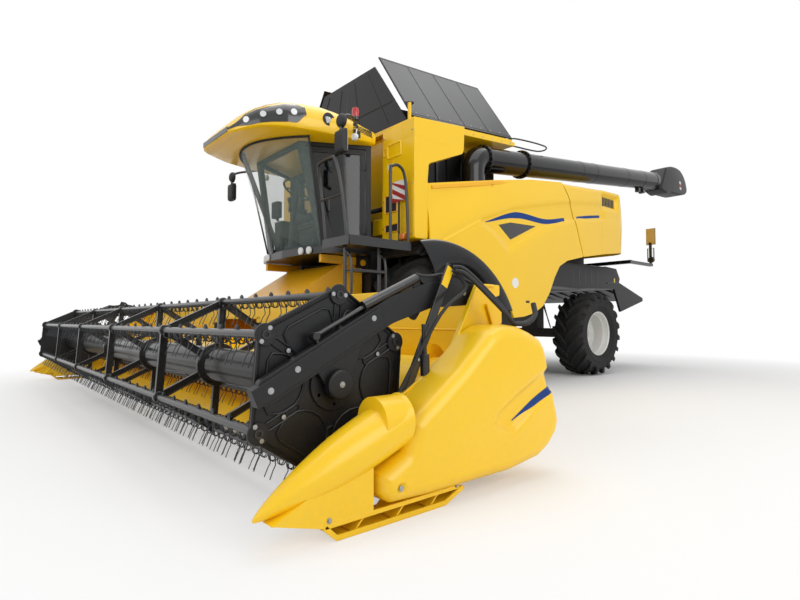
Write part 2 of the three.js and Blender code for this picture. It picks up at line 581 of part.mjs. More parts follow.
// ---- Unloading auger ----
const augerPivot = [1200, 680];
const augerBaseTop = 1690;
const augerRise = 0.122;
const augerEnd = 6230;
const augerAxis = (y) => 2230 + augerRise * (y - 880);
{
  const [x, y] = augerPivot;
  const post = rod([x, y, deck - 100], [x, y, augerBaseTop], augerTube + 15, 20);
  const duct = box(tankHalf + seat, x, y - 120, y + 120, deck + 10, deck + 240);
  part('auger_base', join(post, duct), black, upper);

  const bend = 190;
  const top = augerAxis(y) - bend;
  const elbow = [1, 2, 3, 4, 5].map((i) => {
    const turn = i / 5 * Math.PI / 2;
    return [x, y + bend * (1 - Math.cos(turn)), top + (bend + augerRise * bend) * Math.sin(turn)];
  });
  const path = [[x, y, augerBaseTop + play], [x, y, augerBaseTop + 120], [x, y, top], ...elbow,
    [x, y + bend + 300, augerAxis(y + bend + 300)], [x, augerEnd, augerAxis(augerEnd)]]
    .map((p) => new THREE.Vector3(...p));
  const sides = 16;
  const across = new THREE.Vector3(1, 0, 0);
  const rings = path.map((p, i) => {
    const ahead = path[Math.min(i + 1, path.length - 1)], behind = path[Math.max(i - 1, 0)];
    const up = ahead.clone().sub(behind).cross(across).normalize();
    return Array.from({ length: sides }, (_, j) => {
      const turn = 2 * Math.PI * j / sides;
      return p.clone().addScaledVector(across, augerTube * Math.cos(turn))
        .addScaledVector(up, augerTube * Math.sin(turn)).toArray();
    });
  });
  const onAxis = (at) => [x, at, augerAxis(at)];
  const flange = (at, radius) => rod(onAxis(at - 16), onAxis(at + 16), radius, 16);
  part('unloading_auger', join(loft(rings), flange(885, 205), flange(1770, 210)), black, upper);

  const spout = sideProfile([[augerEnd + 22, 2700], [augerEnd, 3070], [6520, 3200], [7020, 3300],
    [7420, 3200], [7620, 2900], [7540, 2780], [7270, 2720], [6720, 2700], [6520, 2640]], x - 180, x + 180);
  const mouth = sideProfile([[6700, 2600], [6750, 2800], [6900, 3050], [7100, 3080], [7350, 2950],
    [7420, 2600]], x - 150, x + 150);
  const socket = rod(onAxis(augerEnd - 200), onAxis(augerEnd + seat), augerTube + 3, 20);
  part('auger_spout', cut(spout, mouth, socket), black, upper);
}

// ---- Feeder house: swings with the header about its rear shaft ----
const headerHalf = reelHalf + moving + 60 + moving;
const wallFront = -2080;
const wallRear = wallFront + steelSheet;
{
  const [py, pz] = feederPivot;
  const rear = -740;
  const outline = (inset) => {
    const front = wallRear + seat;
    const e = inset ? 30 : 0;
    return [[front - e, 330 + inset], [rear + e, pz - 540 + inset], [rear + e, pz + 10 - inset],
      [rear - 330, pz - 30 - inset], [front - e, 985 - inset]];
  };
  const pin = rod([feederHalf - 5, py, pz], [trunnion.out, py, pz], trunnion.radius, 20);
  const feeder = join(sideProfile(outline(0), -feederHalf, feederHalf));
  const tunnel = sideProfile(outline(40), 40 - feederHalf, feederHalf - 40);
  part('feeder_house', join(cut(feeder, tunnel), pin, mirrored(pin)), yellow);
}
// ---- Header: trough, end sheets with their dividers and belt shields ----
const knifeFront = -2855;
const tableAuger = [-2380, 500];
const tableShaft = 36;
{
  const inner = [[knifeFront + 35, 112], [-2640, 150], [-2450, 170], [-2200, 225], [wallFront, 400],
    [wallFront, 1140]];
  const outer = [[wallRear + 60, 1140], [wallRear + 60, 1075], [wallRear, 1060], [wallRear, 385],
    [-2185, 195], [-2445, 138], [-2640, 118], [knifeFront + 35, 80]];
  const trough = sideProfile([...inner, ...outer], seat - headerHalf, headerHalf - seat);
  const throat = box(-570, 570, wallFront - 60, wallRear + 100, 372, 940);
  part('header_table', cut(trough, throat), yellow);
}
{
  const sheet = headerHalf;
  const outerFace = 4050 - 3690 + reelHalf;
  const web = sideProfile([[-2050, 60], [-2050, 1140], [-2230, 1140], [-2450, 760], [-2900, 500],
    [-3260, 380], [-3400, 180], [-3400, 60]], sheet, sheet + steelSheet);
  const skid = sideProfile([[-3400, 62], [-3330, 0], [-2700, 0], [-2560, 62]], sheet, outerFace - 50);
  const stations = [[-3685, 150, 6], [-3500, 225, 52], [-3200, 345, 92], [-2950, 450, 118]];
  const cone = loft(stations.map(([y, z, r]) => Array.from({ length: 12 }, (_, j) => {
    const turn = j * Math.PI / 6;
    return [outerFace - 122 + r * Math.cos(turn), y, z + r * Math.sin(turn)];
  })));
  const toe = sideProfile([[-3685, 146], [-3400, 62], [-3150, 62], [-3150, 330], [-3400, 240]], sheet + 5,
    outerFace - 60);
  const armPin = rod([sheet - 78, -2150, 1080], [sheet + 10, -2150, 1080], 25, 16);
  const bearing = rod([sheet - 20, ...tableAuger], [sheet + 40, ...tableAuger],
    around(tableShaft, 20) + play, 20);
  pair('header_end', cut(join(web, skid, cone, toe, armPin), bearing), yellow);

  const cover = sideProfile([[-3130, 173], [-3060, 93], [-2818, 84], [-2217, 83], [-1847, 160], [-1736, 311],
    [-1770, 430], [-1807, 560], [-1876, 773], [-2006, 852], [-2222, 899], [-2336, 894], [-2600, 680],
    [-2880, 490], [-2935, 455], [-2935, 290], [-3130, 262]], sheet + steelSheet + seat, outerFace);
  pair('header_shield', cover, yellow);
}

// ---- Knife and table auger ----
part('knife', box(60 - headerHalf, headerHalf - 60, knifeFront, knifeFront + 34.5, 92, 108), steel);
{
  const end = headerHalf - moving;
  const tube = 200;
  const body = turned([[0, -end - 25], [tableShaft, -end - 25], [tableShaft, -end], [tube, -end], [tube, end],
    [tableShaft, end], [tableShaft, end + 25], [0, end + 25]], 20);
  const flight = (hand) => {
    const turns = 4.5, length = end - 660;
    const count = Math.round(turns * 11);
    return loft(Array.from({ length: count + 1 }, (_, i) => {
      const t = i / count;
      const turn = hand * 2 * Math.PI * turns * t;
      const x = 640 + length * t;
      return [[190, -5], [tableAugerRadius, -5], [tableAugerRadius, 5], [190, 5]].map(([r, w]) =>
        [x + w, r * Math.cos(turn), r * Math.sin(turn)]);
    }));
  };
  const spiral = flight(1);
  part('table_auger', join(body, spiral, mirrored(spiral)).translate([0, ...tableAuger]), yellow);
}

// ---- Reel: arms, tube with its spiders and end plates, and six tine bars ----
const reelAt = [-3160, 613];
const reelTurn = THREE.MathUtils.degToRad(-4);
const bays = 5;
const batAt = (k) => {
  const turn = reelTurn + k * Math.PI / 3;
  return [-reelRadius * Math.sin(turn), reelRadius * Math.cos(turn)];
};
{
  const inner = reelHalf + moving;
  const outline = [[-2100, 1140], [-2560, 1135], [-2850, 1045], [-3590, 655], [-3560, 535], [-2840, 905],
    [-2560, 990], [-2100, 1020]];
  const arm = cut(sideProfile(outline, inner, inner + 60),
    rod([inner - 20, -2150, 1080], [inner + 80, -2150, 1080], 25 + 2 * play, 16),
    rod([inner - 20, ...reelAt], [inner + 80, ...reelAt], 30 + 2 * play, 16));
  const bearing = cut(rod([inner, ...reelAt], [inner + 60, ...reelAt], 75, 20),
    rod([inner - 20, ...reelAt], [inner + 80, ...reelAt], 30 + 2 * play, 16));
  const hanger = cut(sideProfile([[-3220, 600], [-3100, 600], [-2990, 850], [-3290, 700]], inner, inner + 60),
    rod([inner - 20, ...reelAt], [inner + 80, ...reelAt], 30 + 2 * play, 16));
  pair('reel_arm', join(arm, bearing, hanger), black);
}
{
  const holes = (x0, x1) => Array.from({ length: 6 }, (_, k) => {
    const [y, z] = batAt(k);
    return rod([x0 - 10, y, z], [x1 + 10, y, z], around(batRadius + seat, 14), 14);
  });
  const hexagon = (radius) => Array.from({ length: 6 }, (_, k) => {
    const turn = reelTurn + k * Math.PI / 3;
    return [-radius * Math.sin(turn), radius * Math.cos(turn)];
  });
  const plateThick = 25;
  const endPlate = cut(sideProfile(hexagon(reelRadius + 48), reelHalf - plateThick, reelHalf),
    ...holes(reelHalf - plateThick, reelHalf));
  const spider = (x) => {
    const spokes = Array.from({ length: 6 }, (_, k) => {
      const [y, z] = batAt(k).map((v) => v * (reelRadius + 40) / reelRadius);
      const [sy, sz] = [-z, y].map((v) => v * 32 / (reelRadius + 40));
      const [ty, tz] = [0.8 * sy, 0.8 * sz];
      return sideProfile([[sy, sz], [y + ty, z + tz], [y - ty, z - tz], [-sy, -sz]], x - 8, x + 8);
    });
    return cut(join(...spokes), ...holes(x - 8, x + 8));
  };
  const span = 2 * reelHalf / bays;
  const spiders = [1, 2, 3, 4].map((i) => spider(-reelHalf + i * span));
  const shaft = turned([[0, -reelHalf - 70], [30, -reelHalf - 70], [30, -reelHalf - 3], [115, -reelHalf + 2],
    [115, reelHalf - 2], [30, reelHalf + 3], [30, reelHalf + 70], [0, reelHalf + 70]], 16);
  part('reel', join(shaft, endPlate, mirrored(endPlate), ...spiders).translate([0, ...reelAt]), black);
  for (let k = 0; k < 6; k++) {
    const [y, z] = batAt(k);
    const bar = rod([-reelHalf - 4, y, z], [reelHalf + 4, y, z], batRadius, 14).translate([0, ...reelAt]);
    part(`tine_bar_${k + 1}`, bar, black);
  }
}

// The origin sits under the middle of the whole footprint.
const footprint = new THREE.Box3().setFromObject(machine);
machine.position.y = -(footprint.min.y + footprint.max.y) / 2;

export default machine;
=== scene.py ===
import bpy
import bmesh
import math
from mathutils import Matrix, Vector


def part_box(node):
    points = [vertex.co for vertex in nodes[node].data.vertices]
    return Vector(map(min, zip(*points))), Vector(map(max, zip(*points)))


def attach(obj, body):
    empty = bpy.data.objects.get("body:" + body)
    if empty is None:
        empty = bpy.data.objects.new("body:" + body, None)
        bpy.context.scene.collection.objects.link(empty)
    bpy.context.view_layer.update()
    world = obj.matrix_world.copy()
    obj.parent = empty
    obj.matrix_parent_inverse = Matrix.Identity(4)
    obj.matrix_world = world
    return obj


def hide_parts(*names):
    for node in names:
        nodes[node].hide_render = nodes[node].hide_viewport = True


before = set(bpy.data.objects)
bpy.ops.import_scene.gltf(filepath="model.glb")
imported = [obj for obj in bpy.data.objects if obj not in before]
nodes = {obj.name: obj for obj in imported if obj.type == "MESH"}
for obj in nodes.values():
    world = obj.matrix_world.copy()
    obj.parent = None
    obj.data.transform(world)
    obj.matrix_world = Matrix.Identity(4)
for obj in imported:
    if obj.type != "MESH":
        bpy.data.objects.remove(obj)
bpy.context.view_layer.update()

lo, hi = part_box("tyre_front_left")
AXLE = (lo[1] + hi[1]) / 2          # where the front axle stands along the machine
FRONT_AXLE = (hi[2] + lo[2]) / 2
lo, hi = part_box("tyre_rear_left")
REAR_AXLE = ((lo[1] + hi[1]) / 2 - AXLE, (lo[2] + hi[2]) / 2)
BODY_HALF = 1.58                    # centre plane to the outside of the side panels
SHEET = 0.004

# ---- Camera ----
turn, pitch = math.radians(40.64), math.radians(2.33)
eye = Vector((5.818, AXLE - 4.566, 0.916))
look = Vector((-math.cos(turn) * math.cos(pitch), math.sin(turn) * math.cos(pitch), math.sin(pitch)))
camera = bpy.data.objects.new("camera", bpy.data.cameras.new("camera"))
camera.data.sensor_width, camera.data.lens = 36.0, 23.26
camera.location = eye
camera.rotation_mode = "QUATERNION"
camera.rotation_quaternion = look.to_track_quat("-Z", "Y")
bpy.context.scene.collection.objects.link(camera)
bpy.context.scene.camera = camera


# ---- Node helpers ----
def group(name, inputs, outputs):
    """A shader node group with named sockets; each input is (name, kind, default)."""
    tree = bpy.data.node_groups.new(name, "ShaderNodeTree")
    for label, kind, value in inputs:
        socket = tree.interface.new_socket(label, in_out="INPUT", socket_type="NodeSocket" + kind)
        socket.default_value = value
    for label, kind in outputs:
        tree.interface.new_socket(label, in_out="OUTPUT", socket_type="NodeSocket" + kind)
    return tree, tree.nodes.new("NodeGroupInput").outputs, tree.nodes.new("NodeGroupOutput").inputs


def feed(tree, socket, value):
    if isinstance(value, bpy.types.NodeSocket):
        tree.links.new(value, socket)
    else:
        socket.default_value = value


def node(tree, kind, settings=(), **sockets):
    made = tree.nodes.new(kind)
    for key, value in dict(settings).items():
        setattr(made, key, value)
    for key, value in sockets.items():
        feed(tree, made.inputs[int(key[1:]) if key[0] == "i" and key[1:].isdigit()
                               else key.replace("_", " ")], value)
    return made


def maths(tree, operation, a, b):
    return node(tree, "ShaderNodeMath", {"operation": operation}, i0=a, i1=b).outputs[0]


def blend_colour(tree, factor, a, b):
    made = tree.nodes.new("ShaderNodeMix")
    made.data_type = "RGBA"
    feed(tree, made.inputs[0], factor)
    feed(tree, made.inputs[6], a)
    feed(tree, made.inputs[7], b)
    return made.outputs[2]


def ramp(tree, value, low, high):
    made = node(tree, "ShaderNodeMapRange", {"clamp": True}, i0=value, i1=low, i2=high)
    return made.outputs[0]


def coat_group():
    """Sprayed enamel: slow tone drift, orange peel, road dust low down and in a thin veil."""
    tree, given, result = group("sprayed_enamel", [
        ("Colour", "Color", (0.5, 0.5, 0.5, 1)), ("Dust Colour", "Color", (0.33, 0.27, 0.19, 1)),
        ("Dust", "Float", 0.3), ("Dust Height", "Float", 1.0), ("Gloss Roughness", "Float", 0.3),
        ("Peel", "Float", 0.05)],
        [("Colour", "Color"), ("Roughness", "Float"), ("Normal", "Vector")])
    place = node(tree, "ShaderNodeTexCoord").outputs["Object"]
    drift = node(tree, "ShaderNodeTexNoise", Vector=place, Scale=0.9, Detail=3.0).outputs[0]
    speck = node(tree, "ShaderNodeTexNoise", Vector=place, Scale=38.0, Detail=6.0,
                 Roughness=0.75).outputs[0]
    peel = node(tree, "ShaderNodeTexNoise", Vector=place, Scale=260.0, Detail=1.0).outputs[0]
    height = node(tree, "ShaderNodeSeparateXYZ", Vector=place).outputs[2]
    low = maths(tree, "SUBTRACT", 1.0, maths(tree, "DIVIDE", height, given["Dust Height"]))
    low = maths(tree, "MAXIMUM", low, 0.08)
    dust = maths(tree, "MULTIPLY", maths(tree, "MULTIPLY", low, given["Dust"]),
                 ramp(tree, speck, 0.35, 0.7))
    shade = node(tree, "ShaderNodeHueSaturation", Color=given["Colour"],
                 Value=maths(tree, "ADD", 0.965, maths(tree, "MULTIPLY", drift, 0.07))).outputs[0]
    tree.links.new(blend_colour(tree, dust, shade, given["Dust Colour"]), result["Colour"])
    rough = maths(tree, "ADD", given["Gloss Roughness"], maths(tree, "MULTIPLY", dust, 0.5))
    tree.links.new(maths(tree, "ADD", rough, maths(tree, "MULTIPLY", drift, 0.05)), result["Roughness"])
    bump = node(tree, "ShaderNodeBump", Strength=given["Peel"], Distance=0.002, Height=peel)
    tree.links.new(bump.outputs[0], result["Normal"])
    return tree


def grain_group():
    """Moulded or woven skin: a fine pebble with duller, dustier blotches."""
    tree, given, result = group("moulded_grain", [
        ("Colour", "Color", (0.5, 0.5, 0.5, 1)), ("Worn Colour", "Color", (0.3, 0.3, 0.3, 1)),
        ("Wear", "Float", 0.3), ("Grain Scale", "Float", 300.0), ("Depth", "Float", 0.3),
        ("Base Roughness", "Float", 0.6)],
        [("Colour", "Color"), ("Roughness", "Float"), ("Normal", "Vector")])
    place = node(tree, "ShaderNodeTexCoord").outputs["Object"]
    grain = node(tree, "ShaderNodeTexVoronoi", Vector=place, Scale=given["Grain Scale"]).outputs[0]
    blotch = node(tree, "ShaderNodeTexNoise", Vector=place, Scale=6.0, Detail=5.0,
                  Roughness=0.65).outputs[0]
    mask = maths(tree, "MULTIPLY", ramp(tree, blotch, 0.45, 0.8), given["Wear"])
    tree.links.new(blend_colour(tree, mask, given["Colour"], given["Worn Colour"]), result["Colour"])
    tree.links.new(maths(tree, "ADD", given["Base Roughness"], maths(tree, "MULTIPLY", blotch, 0.15)),
                   result["Roughness"])
    bump = node(tree, "ShaderNodeBump", Strength=given["Depth"], Distance=0.001, Height=grain)
    tree.links.new(bump.outputs[0], result["Normal"])
    return tree


def metal_group():
    """Bare or plated metal: fine scratches along one direction and a dull bloom in patches."""
    tree, given, result = group("scuffed_metal", [
        ("Colour", "Color", (0.5, 0.5, 0.5, 1)), ("Bloom Colour", "Color", (0.25, 0.22, 0.2, 1)),
        ("Bloom", "Float", 0.3), ("Base Roughness", "Float", 0.3)],
        [("Colour", "Color"), ("Roughness", "Float"), ("Normal", "Vector")])
    place = node(tree, "ShaderNodeTexCoord").outputs["Object"]
    stretched = node(tree, "ShaderNodeMapping", Vector=place)
    stretched.inputs["Scale"].default_value = (6.0, 180.0, 90.0)
    scratch = node(tree, "ShaderNodeTexNoise", Vector=stretched.outputs[0], Scale=3.0,
                   Detail=4.0).outputs[0]
    patch = node(tree, "ShaderNodeTexNoise", Vector=place, Scale=9.0, Detail=5.0).outputs[0]
    mask = maths(tree, "MULTIPLY", ramp(tree, patch, 0.45, 0.75), given["Bloom"])
    tree.links.new(blend_colour(tree, mask, given["Colour"], given["Bloom Colour"]), result["Colour"])
    rough = maths(tree, "ADD", given["Base Roughness"], maths(tree, "MULTIPLY", mask, 0.35))
    tree.links.new(maths(tree, "ADD", rough, maths(tree, "MULTIPLY", scratch, 0.1)), result["Roughness"])
    bump = node(tree, "ShaderNodeBump", Strength=0.12, Distance=0.0006, Height=scratch)
    tree.links.new(bump.outputs[0], result["Normal"])
    return tree


GROUPS = {"enamel": coat_group(), "grain": grain_group(), "metal": metal_group()}


def linear(colour):
    """A hex colour as linear RGBA."""
    parts = [int(colour[i:i + 2], 16) / 255 for i in (0, 2, 4)]
    return (*[p / 12.92 if p <= 0.04045 else ((p + 0.055) / 1.055) ** 2.4 for p in parts], 1)


def material(name, effect, values, constants):
    """One finish: its effect group with its own values, and constants on the shader's own sockets."""
    made = bpy.data.materials.new(name)
    made.use_nodes = True
    tree = made.node_tree
    shader = tree.nodes["Principled BSDF"]
    if effect:
        surface = tree.nodes.new("ShaderNodeGroup")
        surface.node_tree = GROUPS[effect]
        for label, value in values.items():
            surface.inputs[label].default_value = value
        tree.links.new(surface.outputs["Colour"], shader.inputs["Base Color"])
        tree.links.new(surface.outputs["Roughness"], shader.inputs["Roughness"])
        tree.links.new(surface.outputs["Normal"], shader.inputs["Normal"])
    for label, value in constants.items():
        shader.inputs[label].default_value = value
    return made


def enamel(name, colour, rough, dust=0.15, peel=0.04, **constants):
    return material(name, "enamel", {"Colour": linear(colour), "Dust": dust, "Gloss Roughness": rough,
                                     "Peel": peel, "Dust Height": 1.4},
                    {k.replace("_", " "): v for k, v in constants.items()})


def moulding(name, colour, worn, rough=0.55, wear=0.35, scale=300.0, depth=0.25, **constants):
    return material(name, "grain", {"Colour": linear(colour), "Worn Colour": linear(worn), "Wear": wear,
                                    "Grain Scale": scale, "Depth": depth, "Base Roughness": rough},
                    {k.replace("_", " "): v for k, v in constants.items()})


def metal(name, colour, bloom, rough=0.28, amount=0.3):
    return material(name, "metal", {"Colour": linear(colour), "Bloom Colour": linear(bloom),
                                    "Bloom": amount, "Base Roughness": rough}, {"Metallic": 1.0})


yellow = enamel("yellow_enamel", "F8C800", rough=0.3, dust=0.06, Coat_Weight=0.3, Coat_Roughness=0.08)
header_yellow = enamel("header_enamel", "FBCB04", rough=0.33, dust=0.08, Coat_Weight=0.2,
                       Coat_Roughness=0.12)
frame_yellow = enamel("frame_enamel", "F2B200", rough=0.4, dust=0.35, Coat_Weight=0.2, Coat_Roughness=0.2)
black = enamel("black_enamel", "0F1011", rough=0.27, dust=0.06, Coat_Weight=0.3, Coat_Roughness=0.15)
satin = enamel("satin_black_sheet", "16171A", rough=0.36, dust=0.03, peel=0.02, Specular_IOR_Level=0.35)
dark = enamel("dark_underbody", "0E0F10", rough=0.55, dust=0.3)
rim_grey = enamel("rim_enamel", "D9DAD6", rough=0.35, dust=0.2, Coat_Weight=0.2)
stripe_blue = enamel("stripe_blue", "00387F", rough=0.35, dust=0.03, Specular_IOR_Level=0.2)
hub_orange = enamel("hub_orange", "D9581C", rough=0.4)
red_band = enamel("red_band", "A81E1A", rough=0.35)
white_film = enamel("white_film", "E9EAE8", rough=0.4, dust=0.05)
tan_board = enamel("tan_board", "C39A45", rough=0.5)
plastic = moulding("black_moulding", "1A1B1D", "2C2D30")
glossy = moulding("gloss_moulding", "101114", "1C1D20", rough=0.16, wear=0.15, depth=0.05, Coat_Weight=0.5)
rubber = moulding("tyre_rubber", "161617", "3A3733", rough=0.78, wear=0.45, scale=140.0, depth=0.35)
hose = moulding("hose_rubber", "101011", "232324", rough=0.5, scale=500.0)
cloth = moulding("seat_cloth", "26282B", "3A3C40", rough=0.9, scale=700.0, depth=0.6, Sheen_Weight=0.3)
steel = metal("bare_steel", "A7A9AB", "6E655C")
tine_wire = metal("tine_wire", "4A4D50", "2A2A2A", rough=0.35)
amber = moulding("amber_lens", "E87A10", "C05A08", rough=0.15, depth=0.05, Coat_Weight=0.6)
red_lens = moulding("red_lens", "B81410", "8A0E0A", rough=0.15, depth=0.05, Coat_Weight=0.6)
lamp = moulding("lamp_lens", "D8DCDE", "F4F6F6", rough=0.08, wear=0.6, scale=120.0, depth=0.5,
                Coat_Weight=0.8)
mirror = metal("mirror_glass", "DDE2E4", "B8C0C4", rough=0.03, amount=0.05)


def clear_glass(name, tint, alpha, rough, coat):
    made = material(name, None, {}, {"Base Color": linear(tint), "Roughness": rough, "IOR": 1.5,
                                     "Alpha": alpha, "Coat Weight": coat, "Coat Roughness": 0.03})
    tree = made.node_tree
    place = node(tree, "ShaderNodeTexCoord").outputs["Object"]
    haze = node(tree, "ShaderNodeTexNoise", Vector=place, Scale=2.5, Detail=4.0).outputs[0]
    tree.links.new(maths(tree, "ADD", alpha - 0.04, maths(tree, "MULTIPLY", haze, 0.08)),
                   tree.nodes["Principled BSDF"].inputs["Alpha"])
    return made


screen_glass = clear_glass("screen_glass", "8FA5A2", 0.18, 0.03, 0.6)
door_glass = clear_glass("door_glass", "080D0D", 0.84, 0.05, 0.1)


# ---- Mesh helpers: a shape is (points, faces), with Y counted from the front axle ----
def merge(*shapes):
    points, faces = [], []
    for p, f in shapes:
        base = len(points)
        points += list(p)
        faces += [[base + i for i in face] for face in f]
    return points, faces


def skin(rings, close=True, caps=True):
    """A surface through rings of equal count."""
    count = len(rings[0])
    points = [p for ring in rings for p in ring]
    faces = []
    for i in range(len(rings) - 1):
        for j in range(count if close else count - 1):
            a, b = i * count + j, i * count + (j + 1) % count
            faces.append([a, b, b + count, a + count])
    if caps:
        faces.append(list(range(count))[::-1])
        faces.append([(len(rings) - 1) * count + j for j in range(count)])
    return points, faces


def block(x0, x1, y0, y1, z0, z1):
    return skin([[(x0, y0, z), (x1, y0, z), (x1, y1, z), (x0, y1, z)] for z in (z0, z1)])


def side_plate(outline, x0, x1):
    return skin([[(x, y, z) for y, z in outline] for x in (x0, x1)])


def front_plate(outline, y0, y1):
    return skin([[(x, y, z) for x, z in outline] for y in (y0, y1)])


def plan_plate(outline, z0, z1):
    return skin([[(x, y, z) for x, y in outline] for z in (z0, z1)])


def smooth_path(points, steps):
    """Catmull-Rom through points, with that many steps between two of them."""
    pts = [Vector(p) for p in points]
    pts = [2 * pts[0] - pts[1]] + pts + [2 * pts[-1] - pts[-2]]
    path = []
    for i in range(1, len(pts) - 2):
        a, b, c, d = pts[i - 1:i + 3]
        for k in range(steps):
            t = k / steps
            path.append(0.5 * ((2 * b) + (c - a) * t + (2 * a - 5 * b + 4 * c - d) * t ** 2
                               + (3 * b - a - 3 * c + d) * t ** 3))
    return path + [pts[-2]]


def pipe(points, radius, sides=10, steps=0, flat=None):
    """A tube along points; steps rounds it, and flat gives (width, height) of a rectangular bar."""
    path = smooth_path(points, steps) if steps else [Vector(p) for p in points]
    rings, side = [], None
    for i, p in enumerate(path):
        ahead = (path[min(i + 1, len(path) - 1)] - path[max(i - 1, 0)]).normalized()
        if side is None:
            side = ahead.cross(Vector((0, 0, 1)))
            if side.length < 0.2:
                side = ahead.cross(Vector((0, 1, 0)))
        side = (side - ahead * side.dot(ahead)).normalized()
        up = side.cross(ahead)
        r = radius[i] if isinstance(radius, (list, tuple)) else radius
        if flat:
            w, h = flat[0] / 2, flat[1] / 2
            corners = [(w, h), (-w, h), (-w, -h), (w, -h)]
            rings.append([p + side * u + up * v for u, v in corners])
        else:
            rings.append([p + side * (r * math.cos(2 * math.pi * k / sides))
                          + up * (r * math.sin(2 * math.pi * k / sides)) for k in range(sides)])
    return skin(rings)


def bar(a, b, width, height):
    return pipe([a, b], 0, flat=(width, height))


def lathe(profile, centre, sides, axis="x"):
    """A turned shape about a line along X, Y or Z through centre; the profile lists (radius, along)."""
    rings = []
    for k in range(sides):
        c, s = math.cos(2 * math.pi * k / sides), math.sin(2 * math.pi * k / sides)
        ring = []
        for r, t in profile:
            local = {"x": (t, r * c, r * s), "y": (r * s, t, r * c), "z": (r * c, r * s, t)}[axis]
            ring.append(tuple(a + b for a, b in zip(local, centre)))
        rings.append(ring)
    rings.append(rings[0])
    return skin(rings, close=False, caps=False)


def disc(centre, radius, depth, axis="x", sides=32):
    """A short turned boss with a softened rim."""
    e = 0.15 * min(radius, abs(depth))
    h = depth / 2
    return lathe([(0, -h), (radius - e, -h), (radius, -h + e), (radius, h - e), (radius - e, h), (0, h)],
                 centre, sides, axis)


def moved(shape, dx, dy=0.0, dz=0.0):
    return [(p[0] + dx, p[1] + dy, p[2] + dz) for p in shape[0]], shape[1]


def flipped(shape):
    """The mirror image on the machine's other side."""
    return [(-p[0], p[1], p[2]) for p in shape[0]], [face[::-1] for face in shape[1]]


def both(shape):
    return merge(shape, flipped(shape))


def piece(name, shape, finish, body="machine", bevel=0.0, hides=(), crease=32):
    """One finished piece of the machine, on its body."""
    mesh = bpy.data.meshes.new(name)
    mesh.from_pydata([(p[0], p[1] + AXLE, p[2]) for p in shape[0]], [], shape[1])
    work = bmesh.new()
    work.from_mesh(mesh)
    bmesh.ops.remove_doubles(work, verts=work.verts, dist=1e-5)
    bmesh.ops.dissolve_degenerate(work, edges=work.edges, dist=1e-6)
    bmesh.ops.recalc_face_normals(work, faces=work.faces)
    work.to_mesh(mesh)
    work.free()
    mesh.shade_smooth()
    mesh.set_sharp_from_angle(angle=math.radians(crease))
    mesh.materials.append(finish)
    made = bpy.data.objects.new(name, mesh)
    bpy.context.scene.collection.objects.link(made)
    if bevel:
        edge = made.modifiers.new("soft_edges", "BEVEL")
        edge.width, edge.segments, edge.limit_method = bevel, 2, "ANGLE"
        edge.angle_limit = math.radians(34)
        edge.harden_normals = False
    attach(made, body)
    if hides:
        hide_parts(*hides)
    return made


# ---- Repeats: rings and rows of copies ----
def copies_tree(name, ring):
    tree = bpy.data.node_groups.new(name, "GeometryNodeTree")
    tree.interface.new_socket("Geometry", in_out="INPUT", socket_type="NodeSocketGeometry")
    for label, kind in (("Count", "Int"), ("Step", "Vector"), ("Finish", "Material")):
        tree.interface.new_socket(label, in_out="INPUT", socket_type="NodeSocket" + kind)
    tree.interface.new_socket("Geometry", in_out="OUTPUT", socket_type="NodeSocketGeometry")
    given = tree.nodes.new("NodeGroupInput").outputs
    points = tree.nodes.new("GeometryNodePoints")
    tree.links.new(given["Count"], points.inputs["Count"])
    index = tree.nodes.new("GeometryNodeInputIndex")
    scaled = tree.nodes.new("ShaderNodeVectorMath")
    scaled.operation = "SCALE"
    tree.links.new(given["Step"], scaled.inputs[0])
    tree.links.new(index.outputs[0], scaled.inputs["Scale"])
    spread = tree.nodes.new("GeometryNodeInstanceOnPoints")
    tree.links.new(given["Geometry"], spread.inputs["Instance"])
    if ring:
        tree.links.new(points.outputs[0], spread.inputs["Points"])
        tree.links.new(scaled.outputs[0], spread.inputs["Rotation"])
    else:
        tree.links.new(scaled.outputs[0], points.inputs["Position"])
        tree.links.new(points.outputs[0], spread.inputs["Points"])
    real = tree.nodes.new("GeometryNodeRealizeInstances")
    finish = tree.nodes.new("GeometryNodeSetMaterial")
    tree.links.new(spread.outputs[0], real.inputs[0])
    tree.links.new(real.outputs[0], finish.inputs["Geometry"])
    tree.links.new(given["Finish"], finish.inputs["Material"])
    tree.links.new(finish.outputs[0], tree.nodes.new("NodeGroupOutput").inputs[0])
    return tree


RING, ROW = copies_tree("ring_of_copies", True), copies_tree("row_of_copies", False)


def repeated(shape, tree, count, step, finish):
    """The shape repeated by a tree, as a shape again. Y is not shifted here."""
    mesh = bpy.data.meshes.new("one")
    mesh.from_pydata(shape[0], [], shape[1])
    seed = bpy.data.objects.new("one", mesh)
    bpy.context.scene.collection.objects.link(seed)
    copies = seed.modifiers.new("copies", "NODES")
    copies.node_group = tree
    sockets = {item.name: item.identifier for item in tree.interface.items_tree if item.in_out == "INPUT"}
    copies[sockets["Count"]] = count
    copies[sockets["Step"]] = step
    copies[sockets["Finish"]] = finish
    real = bpy.data.meshes.new_from_object(seed.evaluated_get(bpy.context.evaluated_depsgraph_get()))
    result = ([tuple(v.co) for v in real.vertices], [list(p.vertices) for p in real.polygons])
    bpy.data.objects.remove(seed)
    bpy.data.meshes.remove(real)
    return result


def around_x(shape, count, centre, finish, start=0.0):
    """Copies of a shape modelled about the X axis, turned round it and moved to centre."""
    c, s = math.cos(start), math.sin(start)
    turned = [(x, y * c - z * s, y * s + z * c) for x, y, z in shape[0]], shape[1]
    ring = repeated(turned, RING, count, (2 * math.pi / count, 0, 0), finish)
    return moved(ring, *centre)


def along(shape, count, step, finish):
    return repeated(shape, ROW, count, step, finish)


